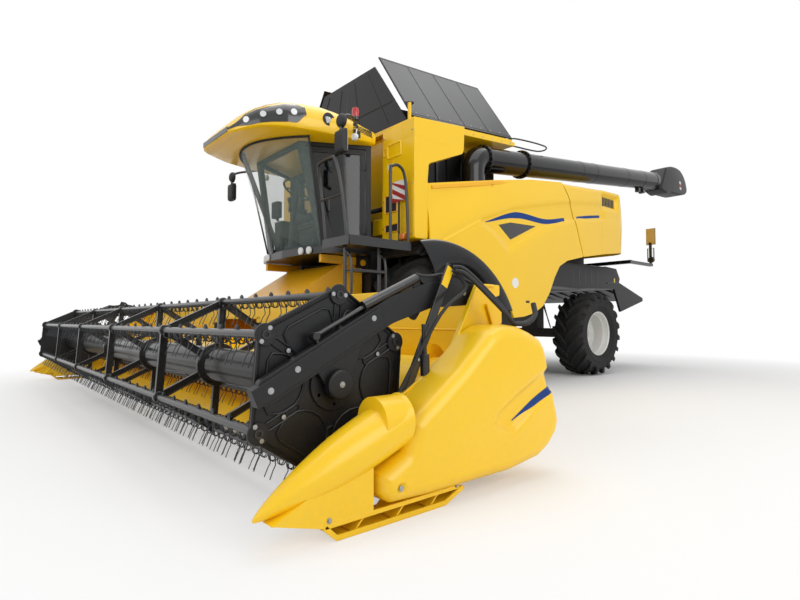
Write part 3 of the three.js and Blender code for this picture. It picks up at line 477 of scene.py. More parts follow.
def bolt(x, y, z, radius, height, axis="x"):
    """A hexagon head on its washer."""
    washer = disc((0, 0, 0), radius * 1.35, height * 0.3, axis, 14)
    head = lathe([(0, 0), (radius, 0), (radius, height * 0.9), (radius * 0.85, height), (0, height)],
                 (0, 0, 0), 6, axis)
    return moved(merge(washer, head), x, y, z)


def keep(finish, *names):
    """A CAD node that stays in view, with a better finish."""
    for name in names:
        for held in nodes[name].material_slots:
            held.material = finish


def arc(y, z, radius, start, end, count):
    return [(y + radius * math.cos(math.radians(start + (end - start) * i / count)),
             z + radius * math.sin(math.radians(start + (end - start) * i / count)))
            for i in range(count + 1)]


def along_line(line, y):
    """The height of a polyline of (y, z) at y."""
    for (y0, z0), (y1, z1) in zip(line, line[1:]):
        if y <= y1:
            return z0 + (z1 - z0) * max(0.0, (y - y0) / (y1 - y0))
    return line[-1][1]


def ease(value, low, high):
    t = min(1.0, max(0.0, (value - low) / (high - low)))
    return t * t * (3 - 2 * t)


def depth_in(outline, y, z):
    """How far a point lies inside a closed outline; negative outside."""
    inside, nearest = False, 1e9
    for (y0, z0), (y1, z1) in zip(outline, outline[1:] + outline[:1]):
        if (z0 > z) != (z1 > z) and y < y0 + (z - z0) * (y1 - y0) / (z1 - z0):
            inside = not inside
        dy, dz = y1 - y0, z1 - z0
        t = min(1.0, max(0.0, ((y - y0) * dy + (z - z0) * dz) / (dy * dy + dz * dz)))
        nearest = min(nearest, math.hypot(y - y0 - t * dy, z - z0 - t * dz))
    return nearest if inside else -nearest


def sheet_of(rows, thickness=SHEET):
    """A thin closed shell under a grid of points; its normals are taken from the grid itself."""
    face = skin(rows, close=False, caps=False)
    mesh = bpy.data.meshes.new("sheet")
    mesh.from_pydata(face[0], [], face[1])
    work = bmesh.new()
    work.from_mesh(mesh)
    bmesh.ops.remove_doubles(work, verts=work.verts, dist=1e-5)
    bmesh.ops.recalc_face_normals(work, faces=work.faces)
    work.normal_update()
    work.verts.index_update()
    outer = [tuple(v.co) for v in work.verts]
    inner = [tuple(v.co - v.normal * thickness) for v in work.verts]
    count = len(outer)
    faces = [[v.index for v in f.verts] for f in work.faces]
    faces += [[v.index + count for v in reversed(f.verts)] for f in work.faces]
    for edge in work.edges:
        if edge.is_boundary:
            loop = edge.link_loops[0]
            a, b = loop.vert.index, loop.link_loop_next.vert.index
            faces.append([b, a, a + count, b + count])
    work.free()
    bpy.data.meshes.remove(mesh)
    return outer + inner, faces


# ---- Wheels ----
def tyre_shape(radius, half, bead, bead_half, lugs, lean):
    wall = radius - bead
    side = [(bead, bead_half), (bead + 0.05 * wall, bead_half + 0.03), (bead + 0.14 * wall, half - 0.05),
            (bead + 0.3 * wall, half - 0.016), (bead + 0.33 * wall, half - 0.010),
            (bead + 0.37 * wall, half - 0.014), (bead + 0.5 * wall, half - 0.004),
            (bead + 0.66 * wall, half - 0.008), (radius - 0.11, half - 0.03), (radius - 0.065, half - 0.07),
            (radius - 0.045, half - 0.14), (radius - 0.040, 0.0)]
    profile = side + [(r, -x) for r, x in side[:-1]][::-1]
    carcass = lathe(profile + [profile[0]], (0, 0, 0), 72)
    shapes = [carcass]
    for hand in (1, -1):
        rings = []
        for t, top, foot in ((0, .002, .06), (.2, .002, .06), (.45, .004, .06), (.7, .010, .07),
                             (.88, .022, .085), (.97, .045, .11), (1.0, .085, .16)):
            out = min(half - 0.001, 0.008 + t * (half - 0.008))
            turn = lean * t ** 0.8 + (0 if hand > 0 else math.pi / lugs)
            wide = (0.027 + 0.014 * t) / radius
            rings.append([(hand * out, (radius - r) * math.sin(turn + a), (radius - r) * math.cos(turn + a))
                          for r, a in ((foot, -1.25 * wide), (top + .006, -0.9 * wide), (top, -0.7 * wide),
                                       (top, 0.7 * wide), (top + .006, 0.9 * wide), (foot, 1.25 * wide))])
        shapes.append(around_x(skin(rings), lugs, (0, 0, 0), rubber))
    return merge(*shapes)


def rim_shape(bead, bead_half, disc_at, bolts, circle):
    """Rim with rolled edges, a stepped dish and its ring of bolts, all turned about X."""
    profile = [(0, disc_at + .03), (circle + .06, disc_at + .03), (circle + .09, disc_at + .022),
               (bead - .16, disc_at + .05), (bead - .13, disc_at + .07), (bead - .05, disc_at + .075),
               (bead - .04, disc_at + .09), (bead - .036, bead_half - .07), (bead - .022, bead_half - .05),
               (bead - .014, bead_half - .012), (bead + .006, bead_half + .004),
               (bead + .014, bead_half + .016), (bead + .014, bead_half + .028),
               (bead + .004, bead_half + .029), (bead - .006, bead_half + .018),
               (bead - .008, bead_half - .01), (bead - .02, bead_half - .04)]
    back = [(bead - .028, -bead_half + .05), (bead - .01, -bead_half + .01),
            (bead + .014, -bead_half - .018), (bead + .014, -bead_half - .028),
            (bead + .002, -bead_half - .028), (bead - .02, -bead_half + .02),
            (bead - .034, -bead_half + .06), (bead - .04, disc_at + .0), (0, disc_at)]
    shell = lathe(profile[:13] + [(bead + .006, bead_half + .03), (bead - .01, bead_half + .012),
                  (bead - .012, 0.0)] + back, (0, 0, 0), 96)
    return shell, around_x(bolt(disc_at + .03, 0, circle, .017, .028), bolts, (0, 0, 0), black)


for place, centre_y, centre_z, radius, half, bead, bead_half, track, disc_at, bolts, circle, lugs, lean in (
        ("front", 0, FRONT_AXLE, .91, .325, .41, .23, 1.2, -.02, 10, .17, 21, .36),
        ("rear", *REAR_AXLE, .705, .27, .358, .19, 1.11, -.135, 8, .14, 19, .40)):
    tread = tyre_shape(radius, half, bead, bead_half, lugs, lean)
    shell, studs = rim_shape(bead, bead_half, disc_at, bolts, circle)
    hub = merge(disc((disc_at + .045, 0, 0), .105, .03, sides=40),
                disc((disc_at + .07, 0, 0), .075, .05, sides=40))
    valve = pipe([(disc_at + .06, 0, bead - .08), (disc_at + .12, 0, bead - .07)], .006, 8)
    steps = around_x(moved(block(-.006, .006, -.05, .05, -.018, .018), disc_at + .074, 0, bead - .09), 10,
                     (0, 0, 0), rim_grey, .2)
    for side, turn_side in (("left", 1), ("right", -1)):
        spot = (track, centre_y, centre_z)
        side_of = (lambda s: moved(s, *spot)) if turn_side > 0 else (lambda s: flipped(moved(s, *spot)))
        body = f"wheel_{place}_{side}"
        piece(f"tyre_{place}_{side}_tread", side_of(tread), rubber, body, hides=[f"tyre_{place}_{side}"],
              crease=38)
        piece(f"rim_{place}_{side}_dish", side_of(merge(shell, steps)), rim_grey, body,
              hides=[f"rim_{place}_{side}"])
        piece(f"wheel_nuts_{place}_{side}", side_of(merge(studs, valve)), black, body)
        piece(f"hub_cap_{place}_{side}", side_of(hub), hub_orange if place == "rear" else rim_grey, body)

# ---- Side panels ----
SIDES = (("left", lambda shape: shape), ("right", flipped))
SEAM = [(2.318, 3.007), (2.507, 2.716), (2.850, 1.918)]
PANEL_TOP = [(-.46, 2.515), (.802, 2.777), (1.56, 2.915), *SEAM]
PANEL_FOOT = [*reversed(arc(-.31, .341, 1.521, 24, 95.6, 26)), (1.3, .975), (1.56, 1.03), (1.76, 1.13),
              (1.93, 1.33), (2.06, 1.56), (2.191, 1.728), (2.4, 1.825), (2.85, 1.917)]
SHOULDER = [(-.46, 1.80), (-.313, 1.871), (.32, 2.185), (1.048, 2.448), (1.892, 2.636), (2.516, 2.753),
            (3.505, 2.879), (4.3, 2.94)]
FOLD = [(-.46, 1.74), (-.254, 1.846), (.388, 2.16), (.669, 2.055), (.962, 1.848), (1.239, 1.983),
        (1.705, 2.209), (2.118, 2.35), (2.662, 2.459), (3.436, 2.557), (4.3, 2.60)]


def panel_in(y, z):
    """How far the side's pressing stands in from its outermost face."""
    shoulder, fold = along_line(SHOULDER, y), along_line(FOLD, y)
    fold = min(fold, shoulder - .05)
    if z >= shoulder:
        return .006 + .034 * min(1.3, (z - shoulder) / .34) ** 1.5
    if z >= fold:
        back = .024 * ease(z, fold, fold + .035)
        return back - (back - .006) * ease(z, shoulder - .06, shoulder)
    return .012 * max(0.0, (fold - z) / 1.2) ** 2


FOLDED_EDGE = .03      # how far the side skin turns inwards round its edge


def pressed_sheet(top, foot, y0, y1, columns):
    """The pressed side skin between two edge lines, with its edges folded inwards."""
    grid = []
    for i in range(columns + 1):
        y = y0 + (y1 - y0) * i / columns
        low, high = along_line(foot, y), along_line(top, y)
        shoulder = along_line(SHOULDER, y)
        fold = min(along_line(FOLD, y), shoulder - .05)
        marks = [low, low + .012, fold, fold + .035, shoulder - .06, shoulder, high - .012, high]
        marks = [min(high, max(low, m)) for m in marks]
        column = []
        for (a, b), parts in zip(zip(marks, marks[1:]), (1, 10, 2, 5, 2, 8, 1)):
            column += [a + (b - a) * k / parts for k in range(parts)]
        column.append(high)
        line = [(BODY_HALF - panel_in(y, z), y, z) for z in column]
        grid.append([(line[0][0] - FOLDED_EDGE, y, line[0][2] + .001), *line,
                     (line[-1][0] - FOLDED_EDGE, y, line[-1][2] - .001)])
    first, last = grid[0], grid[-1]
    grid.insert(0, [(p[0] - FOLDED_EDGE, p[1] + .001, p[2]) for p in first])
    grid.append([(p[0] - FOLDED_EDGE, p[1] - .001, p[2]) for p in last])
    return sheet_of(grid)


def on_side(outline, lift, depth=.004):
    """A decal, badge or vent lying on the pressed side: a closed outline of (y, z) with some thickness."""
    return skin([[(BODY_HALF - panel_in(y, z) + d, y, z) for y, z in outline] for d in (-depth, lift)])


def swoosh(line, widths):
    """A tapering band along a line of (y, z)."""
    path = smooth_path([(0, y, z) for y, z in line], 8)
    upper, lower = [], []
    for i, p in enumerate(path):
        a = (path[min(i + 1, len(path) - 1)] - path[max(i - 1, 0)]).normalized()
        t = i / (len(path) - 1) * (len(widths) - 1)
        k = min(int(t), len(widths) - 2)
        w = widths[k] + (widths[k + 1] - widths[k]) * (t - k)
        upper.append((p.y - a.z * w / 2, p.z + a.y * w / 2))
        lower.append((p.y + a.z * w / 2, p.z - a.y * w / 2))
    return upper, lower


def band_on_side(line, widths):
    upper, lower = swoosh(line, widths)
    strips = []
    for (a, b), (c, d) in zip(zip(upper, upper[1:]), zip(lower, lower[1:])):
        strips.append(on_side([a, b, d, c], .0012, .001))
    return merge(*strips)


VENT = [(.79, 2.175), (1.045, 2.238), (1.62, 2.256), (1.041, 2.005)]
panel_skin = pressed_sheet(PANEL_TOP, PANEL_FOOT, -.46, 2.848, 150)
stripe = band_on_side([(.53, 2.18), (1.165, 2.352), (1.841, 2.35), (2.35, 2.445)], [.012, .085, .07, .05])
badge = [(1.111 + .07 * math.cos(a * math.pi / 16), 1.426 + .07 * math.sin(a * math.pi / 16))
         for a in range(32)]
for side, mirror_it in SIDES:
    body = f"panel_{side}"
    piece(f"side_panel_{side}_skin", mirror_it(panel_skin), yellow, body, hides=[f"side_panel_{side}"],
          crease=50)
    piece(f"side_vent_{side}", mirror_it(on_side(VENT, .002)), glossy, body, bevel=.001)
    piece(f"side_stripe_{side}", mirror_it(stripe), stripe_blue, body)
    piece(f"side_badge_{side}", mirror_it(on_side(badge, .002)), white_film, body)
    latch = merge(on_side([(1.35, 1.165), (1.43, 1.165), (1.43, 1.195), (1.35, 1.195)], .004),
                  disc((BODY_HALF - .004, 1.39, 1.18), .012, .012))
    piece(f"side_latch_{side}", mirror_it(latch), plastic, body, bevel=.002)
    foot_bar = [(1.53, y, along_line(PANEL_FOOT, y) + .05)
                for y in (-.4, 0, .4, .8, 1.0, 1.3, 1.6, 1.9, 2.1, 2.5)]
    top_bar = [(1.53, y, along_line(PANEL_TOP, y) - .05) for y in (-.4, .8, 1.5, 2.2)]
    frame_bars = merge(pipe(foot_bar, 0, steps=3, flat=(.02, .03)),
                       pipe(top_bar, 0, steps=3, flat=(.02, .03)),
                       bar((1.53, .5, 1.75), (1.53, .7, 2.7), .02, .04),
                       bar((1.53, 1.6, 1.15), (1.53, 1.5, 2.8), .02, .04))
    piece(f"side_frame_{side}", mirror_it(frame_bars), frame_yellow, body)


def closed_pipe(points, radius, sides=8):
    """A bead that runs round a closed line."""
    path, rings = [Vector(p) for p in points], []
    for i, p in enumerate(path):
        ahead = (path[(i + 1) % len(path)] - path[i - 1]).normalized()
        side = Vector((1, 0, 0)) if abs(ahead.x) < 0.9 else Vector((0, 0, 1))
        side = (side - ahead * side.dot(ahead)).normalized()
        up = side.cross(ahead)
        rings.append([p + side * (radius * math.cos(2 * math.pi * k / sides))
                      + up * (radius * math.sin(2 * math.pi * k / sides)) for k in range(sides)])
    return skin(rings + [rings[0]], caps=False)


def rounded(outline, radius, steps=4):
    """An outline with its corners rounded off."""
    result = []
    for i, corner in enumerate(outline):
        c = Vector(corner)
        a, b = Vector(outline[i - 1]) - c, Vector(outline[(i + 1) % len(outline)]) - c
        cut_back = min(radius, a.length * 0.45, b.length * 0.45)
        start, end = c + a.normalized() * cut_back, c + b.normalized() * cut_back
        for k in range(steps + 1):
            t = k / steps
            result.append(tuple(start * (1 - t) ** 2 + c * (2 * t * (1 - t)) + end * t * t))
    return result


# ---- Reel ----
REEL = (-3.160, 0.613)
REEL_HALF, BAT_AT, REEL_TURN = 3.690, 0.435, math.radians(-4)
SPIDERS = (-2.214, -0.738, 0.738, 2.214)


def reel_point(radius, turn, across=0.0):
    """(y, z) about the reel's shaft: turn from the top, across to the side of that line."""
    c, s = math.cos(turn), math.sin(turn)
    return REEL[0] - radius * s - across * c, REEL[1] + radius * c - across * s


def end_plate():
    hexagon = rounded([reel_point(BAT_AT + .046, REEL_TURN + k * math.pi / 3) for k in range(6)], .05)
    shapes = [side_plate(hexagon, 3.667, 3.675)]
    shapes.append(skin([[(x, REEL[0] + (y - REEL[0]) * k, REEL[1] + (z - REEL[1]) * k) for y, z in hexagon]
                        for x, k in ((3.667, 1.0), (3.689, 1.0), (3.689, .982), (3.674, .972))],
                       caps=False))
    beads = []      # the rounded edges of its openings, its bearings and its rim marks
    for k in range(6):
        spoke, middle = REEL_TURN + k * math.pi / 3, REEL_TURN + (k + .5) * math.pi / 3
        slot = [reel_point(.30 + u * .075 + .018 * math.cos(a), spoke, .018 * math.sin(a))
                for u, start in ((1, -90), (-1, 90))
                for a in (math.radians(start + d) for d in range(0, 181, 30))]
        dee = [reel_point(.335, middle, .135), reel_point(.355, middle, .10),
               reel_point(.355, middle, -.10), reel_point(.335, middle, -.135)]
        dee += [reel_point(.29 - .125 * math.sin(a), middle, -.135 * math.cos(a))
                for a in (math.radians(d) for d in range(0, 181, 20))]
        beads += [closed_pipe([(3.678, y, z) for y, z in line], .006) for line in (slot, dee)]
        beads.append(moved(disc((0, 0, 0), .052, .014, sides=24), 3.681, *reel_point(BAT_AT, spoke)))
        beads += [side_plate([reel_point(.388, middle, a), reel_point(.396, middle, a),
                              reel_point(.396, middle, a + .005), reel_point(.388, middle, a + .005)],
                             3.675, 3.682) for a in [-.165 + .011 * i for i in range(31)]]
    beads.append(moved(disc((0, 0, 0), .13, .016, sides=40), 3.681, *REEL))
    return merge(*shapes, *beads)


def spider_frame(x):
    """Pressed channel bars: six spokes and the hexagon between the bats."""
    shapes = [moved(disc((0, 0, 0), .15, .03, sides=32), x, *REEL)]
    for k in range(6):
        a, b = REEL_TURN + k * math.pi / 3, REEL_TURN + (k + 1) * math.pi / 3
        for start, end in (((.13, a), (BAT_AT - .01, a)), ((BAT_AT, a), (BAT_AT, b))):
            p, q = (Vector((x, *reel_point(*e))) for e in (start, end))
            shapes.append(bar(p, q, .008, .046))
            lift = (q - p).normalized().cross(Vector((1, 0, 0))) * .021
            shapes += [bar(p + lift * s, q + lift * s, .03, .005) for s in (1, -1)]
        shapes.append(moved(disc((0, 0, 0), .036, .034, sides=20), x, *reel_point(BAT_AT, a)))
    return merge(*shapes)


def tine_pair():
    """One wire: two coils side by side under the bat and two kinked legs."""
    shapes = [block(-.016, .016, -.006, .006, .018, .034),
              moved(bolt(0, 0, 0, .007, .009, "z"), 0, 0, .034)]
    for side in (-1, 1):
        coil = []
        for i in range(19):
            turn = 2 * math.pi * i / 9
            coil.append((side * (.030 + .0022 * i), .003 + .022 * math.sin(turn),
                         -.022 + .024 * math.cos(turn) - .006))
        x = coil[-1][0]
        leg = coil + [(x, .026, -.045), (x + side * .004, .030, -.085), (x + side * .002, .014, -.112),
                      (x, -.006, -.160)]
        shapes.append(pipe(leg, .0032, 5))
    return merge(*shapes)


def bat():
    pitch = 2 * REEL_HALF / 35
    tube = lathe([(.012, -REEL_HALF - .003), (.021, -REEL_HALF - .003), (.021, REEL_HALF + .003),
                  (.012, REEL_HALF + .003), (.012, REEL_HALF - .04), (0, REEL_HALF - .04)], (0, 0, 0), 20)
    tines = moved(along(tine_pair(), 35, (pitch, 0, 0), tine_wire), -REEL_HALF + pitch / 2)
    return tube, tines


bat_tube, bat_tines = bat()
for k in range(6):
    y, z = reel_point(BAT_AT, REEL_TURN + k * math.pi / 3)
    piece(f"bat_{k + 1}", moved(bat_tube, 0, y, z), black, f"bar_{k + 1}", hides=[f"tine_bar_{k + 1}"])
    piece(f"tines_{k + 1}", moved(bat_tines, 0, y, z), tine_wire, f"bar_{k + 1}",
          crease=60)
shaft = lathe([(0, -3.755), (.028, -3.755), (.028, -3.69), (.11, -3.688), (.115, -3.68), (.115, 3.68),
               (.11, 3.688), (.028, 3.69), (.028, 3.755), (0, 3.755)], (0, *REEL), 40)
collars = [moved(lathe([(.114, -.05), (.122, -.05), (.122, .05), (.114, .05), (.114, -.05)], (0, 0, 0), 40),
                 x, *REEL) for x in SPIDERS]
piece("reel_ends", both(end_plate()), satin, "reel", hides=["reel"], crease=40)
piece("reel_shaft", merge(shaft, *collars), black, "reel")
piece("reel_spiders", merge(*[spider_frame(x) for x in SPIDERS]), black, "reel", crease=40)
heads = [bolt(3.688, *reel_point(r, REEL_TURN + k * math.pi / 3, a), .008, .001)
         for k in range(6) for r, a in ((BAT_AT, .036), (BAT_AT, -.036), (.30, 0))]
hub_bolts = around_x(bolt(3.687, 0, .10, .010, .002), 6, (0, *REEL), steel)
piece("reel_bolts", both(merge(hub_bolts, *heads)), steel, "reel")

# ---- Reel arms ----
ARM = rounded([(-2.10, 1.14), (-2.56, 1.135), (-2.85, 1.045), (-3.59, .655), (-3.56, .535), (-2.84, .905),
               (-2.56, .99), (-2.10, 1.02)], .03)
SLEEVE = [(-2.93, .985), (-3.62, .62), (-3.585, .54), (-2.89, .90)]
BEARING = rounded([(-3.22, .60), (-3.10, .60), (-2.99, .85), (-3.29, .70)], .02)
TOP_CAP = rounded([(-2.30, 1.13), (-2.62, 1.12), (-2.66, 1.16), (-2.34, 1.17)], .01)
LUG = rounded([(-2.60, .99), (-2.66, .915), (-2.72, .95), (-2.70, 1.02)], .02)
arm_parts = merge(side_plate(ARM, 3.712, 3.752),
                  side_plate(rounded(SLEEVE, .008, 2), 3.704, 3.760),
                  side_plate(BEARING, 3.706, 3.722),
                  moved(disc((0, 0, 0), .073, .056, sides=40), 3.732, *REEL),
                  disc((3.732, -2.15, 1.08), .05, .058, sides=32),
                  side_plate(TOP_CAP, 3.716, 3.748),
                  bar((3.732, -2.66, 1.07), (3.732, -2.66, 1.16), .012, .05),
                  side_plate(LUG, 3.708, 3.724))
piece("reel_arms_beam", both(arm_parts), satin, "reel_arms", hides=["reel_arm_left", "reel_arm_right"],
      bevel=.003)
slide = merge(pipe([(3.732, -2.66, 1.150), (3.732, -3.02, .990)], .026, 20),
              pipe([(3.732, -3.0, .995), (3.732, -3.30, .845)], .011, 16),
              disc((3.732, -3.30, .845), .02, .05, sides=20),
              bar((3.732, -3.28, .80), (3.732, -3.31, .86), .03, .012))
piece("reel_slide_cylinders", both(slide), black, "reel_arms")
arm_bolts = [bolt(3.760, y, z, .011, .002) for y, z in ((-3.16, .613), (-2.97, .93), (-3.4, .70),
                                                        (-3.53, .615), (-2.5, 1.06), (-2.3, 1.08))]
piece("reel_arm_bolts", both(merge(*arm_bolts)), steel, "reel_arms")
outer_hose = [(3.745, -2.20, 1.14), (3.748, -2.40, 1.185), (3.745, -2.58, 1.165), (3.74, -2.67, 1.17)]
inner_hose = [(3.722, -2.25, 1.14), (3.72, -2.45, 1.17), (3.722, -2.70, 1.11), (3.72, -3.0, 1.01)]
piece("reel_arm_hoses", both(merge(pipe(outer_hose, .009, 8, steps=6), pipe(inner_hose, .007, 8, steps=6))),
      hose, "reel_arms")

# ---- Header: trough, ends, dividers, shields ----
HALF = 3.774
TROUGH_IN = [(-2.82, .112), (-2.64, .150), (-2.45, .170), (-2.33, .190), (-2.20, .225), (-2.12, .30),
             (-2.08, .40)]
back_floor = [(y, z - .03) for y, z in TROUGH_IN]
floor_sheet = TROUGH_IN + [(-2.052, .385)] + [(y, z) for y, z in reversed(back_floor[:-1])]
x_end = HALF - .001
table = [skin([[(x, y, z) for y, z in floor_sheet] for x in (-x_end, -.57, .57, x_end)])]
for x0, x1, low in ((-x_end, -.57, .385), (.57, x_end, .385), (-.57, .57, .94)):
    table.append(block(x0, x1, -2.08, -2.072, low, 1.075))
table.append(side_plate(rounded([(-2.08, 1.06), (-2.08, 1.14), (-1.99, 1.14), (-1.99, 1.075),
                                 (-2.05, 1.06)], .012, 3), -x_end, x_end))
for x in [-3.5 + i * .5 for i in range(15)]:
    if abs(x) > .62:
        table.append(side_plate([(-2.072, 1.07), (-2.035, 1.06), (-2.05, .42), (-2.072, .40)], x - .02,
                                x + .02))
for z, depth in ((.86, .014), (.60, .010)):
    for side in (-1, 1):
        table.append(pipe([(side * .62, -2.082, z), (side * (HALF - .03), -2.082, z)], .007, 8))
frame_bars = [block(side * .57 - .03, side * .57 + .03, -2.09, -1.99, .372, .96) for side in (-1, 1)]
piece("header_trough", merge(*table), header_yellow, "header", hides=["header_table"],
      bevel=.002)
piece("header_throat_frame", merge(*frame_bars, block(-.6, .6, -2.09, -1.99, .94, .985)), header_yellow,
      "header", bevel=.004)
rubber_flaps = [block(side * .61 - .035, side * .61 + .035, -2.10, -2.085, .42, .90) for side in (-1, 1)]
piece("throat_seals", merge(*rubber_flaps), rubber, "header")

TABLE_AUGER = (0, -2.38, .5)        # the middle of the table auger's axis
tube_line = lathe([(0, -3.785), (.035, -3.785), (.035, -3.762), (.19, -3.762), (.2, -3.752), (.2, 3.752),
                   (.19, 3.762), (.035, 3.762), (.035, 3.785), (0, 3.785)], TABLE_AUGER, 48)
flights = []
for hand in (1, -1):
    rings = []
    for i in range(145):
        t = i / 144
        a, x = 2 * math.pi * 4.5 * t, .64 + 3.1 * t
        rings.append([(x + w, r * math.cos(a), r * math.sin(a))
                      for r, w in ((.196, -.003), (.279, -.002), (.279, .002), (.196, .003))])
    spiral = moved(skin(rings), *TABLE_AUGER)
    flights.append(spiral if hand > 0 else flipped(spiral))
piece("auger_tube", merge(tube_line, *flights), header_yellow, "table_auger", hides=["table_auger"],
      crease=40)
fingers = []
for i in range(14):
    x, a = -.56 + .086 * i, i * 2.4
    for turn_by in (0, math.pi):
        c, s = math.cos(a + turn_by), math.sin(a + turn_by)
        finger = pipe([(x, .19 * c, .19 * s), (x, .276 * c, .276 * s)], .008, 8)
        fingers.append(moved(finger, *TABLE_AUGER))
piece("auger_fingers", merge(*fingers), steel, "table_auger")

guard = skin([[(w * s, y, z) for s, z in ((1, z0), (-1, z0), (-1, z1), (1, z1))]
              for y, w, z0, z1 in ((-2.815, .017, .083, .117), (-2.87, .015, .085, .116),
                                   (-2.90, .009, .088, .110), (-2.925, .003, .093, .100))])
guards = moved(along(guard, 98, (.0762, 0, 0), black), -3.696)
piece("knife_guards", merge(guards, block(-3.70, 3.70, -2.822, -2.80, .078, .110)), black, "header")
tooth = skin([[(x, y, z) for x, y in ((-.037, -2.822), (.037, -2.822), (.006, -2.854), (-.006, -2.854))]
              for z in (.0985, .1015)])
piece("knife_sections", merge(moved(along(tooth, 97, (.0762, 0, 0), steel), -3.658),
                              block(-3.712, 3.712, -2.838, -2.8215, .094, .098)), steel, "knife",
      hides=["knife"])

COVER_LOW = [(-3.13, .20), (-3.125, .15), (-3.10, .12), (-3.06, .095), (-2.818, .085), (-2.217, .084),
             (-1.95, .115), (-1.847, .16), (-1.765, .235), (-1.737, .311)]
COVER_TOP = [(-3.13, .20), (-3.125, .235), (-3.05, .275), (-2.985, .31), (-2.955, .38), (-2.935, .44),
             (-2.88, .487), (-2.60, .678), (-2.38, .855), (-2.30, .888), (-2.222, .897), (-2.12, .888),
             (-2.006, .852), (-1.92, .815), (-1.876, .765), (-1.807, .56), (-1.77, .43), (-1.75, .37),
             (-1.737, .311)]
COVER = COVER_LOW + COVER_TOP[::-1][1:-1]
RECESS = [(-2.395, .375), (-2.345, .44), (-2.161, .535), (-1.86, .655), (-1.76, .70), (-1.70, .50),
          (-1.807, .485), (-2.031, .39), (-2.185, .30), (-2.241, .285), (-2.36, .325)]


def cover_x(y, z):
    """The belt cover's face: a rounded border, a sunk band and a bolt recess."""
    d, r = depth_in(COVER, y, z), .075
    face = 4.05 - (r - math.sqrt(max(0.0, r * r - (r - d) ** 2)) if d < r else 0) - .006 * ease(d, .3, r)
    face -= .034 * ease(depth_in(RECESS, y, z), 0, .05)
    return face - .012 * (1 - ease(math.hypot(y + 3.03, z - .165), .016, .03))


def spaced(count, low, high):
    """Steps from low to high that crowd together near both ends."""
    return [low + (high - low) * (1 - math.cos(math.pi * i / count)) / 2 * .6
            + (high - low) * i / count * .4 for i in range(count + 1)]


grid = []
for y in spaced(150, -3.13, -1.737):
    low, high = along_line(COVER_LOW, y), along_line(COVER_TOP, y)
    line = [(cover_x(y, z), y, z) for z in spaced(72, low, high)]
    grid.append([(3.806, y, low), (3.9, y, low)] + line + [(3.9, y, high), (3.806, y, high)])
shield = sheet_of(grid)
upper, lower = swoosh([(-2.20, .362), (-2.01, .442), (-1.812, .512)], [.006, .030, .034])
shield_band = merge(*[skin([[(cover_x(y, z) + d, y, z) for y, z in (a, b, e, c)] for d in (-.001, .0015)])
                      for a, b, c, e in zip(upper, upper[1:], lower, lower[1:])])

cone_rings = []
for i in range(26):
    t = i / 25
    y = -3.684 + .734 * t
    radius = .008 + .112 * math.sin(min(1, t * 1.25) * math.pi / 2) ** .8
    z = .150 + .300 * t ** .92
    cone_rings.append([(3.926 + radius * math.cos(a), y, max(.048, z + radius * math.sin(a) * 1.04))
                       for a in [math.radians(d) for d in range(0, 360, 8)]])
hollow_end = [[(3.926 + (p[0] - 3.926) * .95, p[1] - d, .45 + (p[2] - .45) * .95) for p in cone_rings[-1]]
              for d in (0, .16)]
inner_cheek = [(3.79, -3.50, .12), (3.79, -3.14, .12), (3.79, -3.14, .36), (3.79, -3.42, .22)]
outer_cheek = [(3.846, -3.56, .10), (3.846, -3.14, .10), (3.846, -3.14, .38), (3.846, -3.42, .24)]
divider = merge(skin(cone_rings + hollow_end),
                side_plate([(-3.64, .135), (-3.40, .066), (-3.15, .066), (-3.15, .33), (-3.40, .24)],
                           3.84, 3.99),
                skin([inner_cheek, outer_cheek]))
web = side_plate(rounded([(-2.05, .06), (-2.05, 1.14), (-2.23, 1.14), (-2.45, .76), (-2.90, .50),
                          (-3.26, .38), (-3.40, .18), (-3.40, .06)], .02), 3.776, 3.790)
flange = merge(*[pipe([(3.792, y, z) for y, z in ((-2.07, 1.13), (-2.23, 1.13), (-2.45, .752),
                                                  (-2.90, .492), (-3.26, .372))], 0, flat=(.03, .012)),
                 disc((3.795, -2.38, .5), .07, .018, sides=32),
                 disc((3.766, -2.15, 1.08), .045, .03, sides=32)])
skid_line = [(-3.40, .060), (-3.365, .028), (-3.33, .002), (-3.2, .0005), (-2.74, .0005), (-2.66, .022),
             (-2.56, .060)]
skid = merge(skin([[(3.80, y, z), (3.99, y, z), (3.99, y, z + .006), (3.80, y, z + .006)]
                   for y, z in skid_line]),
             *[pipe([(x, -3.40, .07), (x, -3.34, .014), (x, -2.70, .014), (x, -2.57, .066)], 0,
                    flat=(.012, .024)) for x in (3.985, 3.81)],
             *[bar((3.9, y, .012), (3.9, y + .08, .085), .16, .008) for y in (-3.25, -3.02, -2.80)],
             bar((3.985, -3.40, .072), (3.985, -2.60, .076), .012, .02))
gusset = side_plate(rounded([(-2.16, 1.02), (-2.02, 1.02), (-2.02, .90), (-2.10, .88)], .01), 3.80, 3.812)
strut = merge(bar((3.788, -2.446, 1.232), (3.788, -2.80, .509), .012, .056),
              bar((3.788, -2.60, .90), (3.788, -2.80, .509), .020, .040))
arch = merge(pipe([(3.80, -2.44, 1.222), (3.85, -2.38, 1.20), (3.93, -2.20, 1.02), (3.96, -2.10, .905)],
                  .013, 10, steps=5),
             pipe([(3.82, -2.44, 1.200), (3.87, -2.39, 1.17), (3.95, -2.22, 1.00), (3.98, -2.12, .90)],
                  .013, 10, steps=5))
loop_line = [(3.80, -2.43, 1.20), (3.86, -2.40, 1.10), (3.86, -2.60, .95), (3.80, -2.84, .55),
             (3.84, -2.98, .38), (3.92, -3.06, .30), (3.96, -2.98, .33), (3.97, -2.93, .42)]
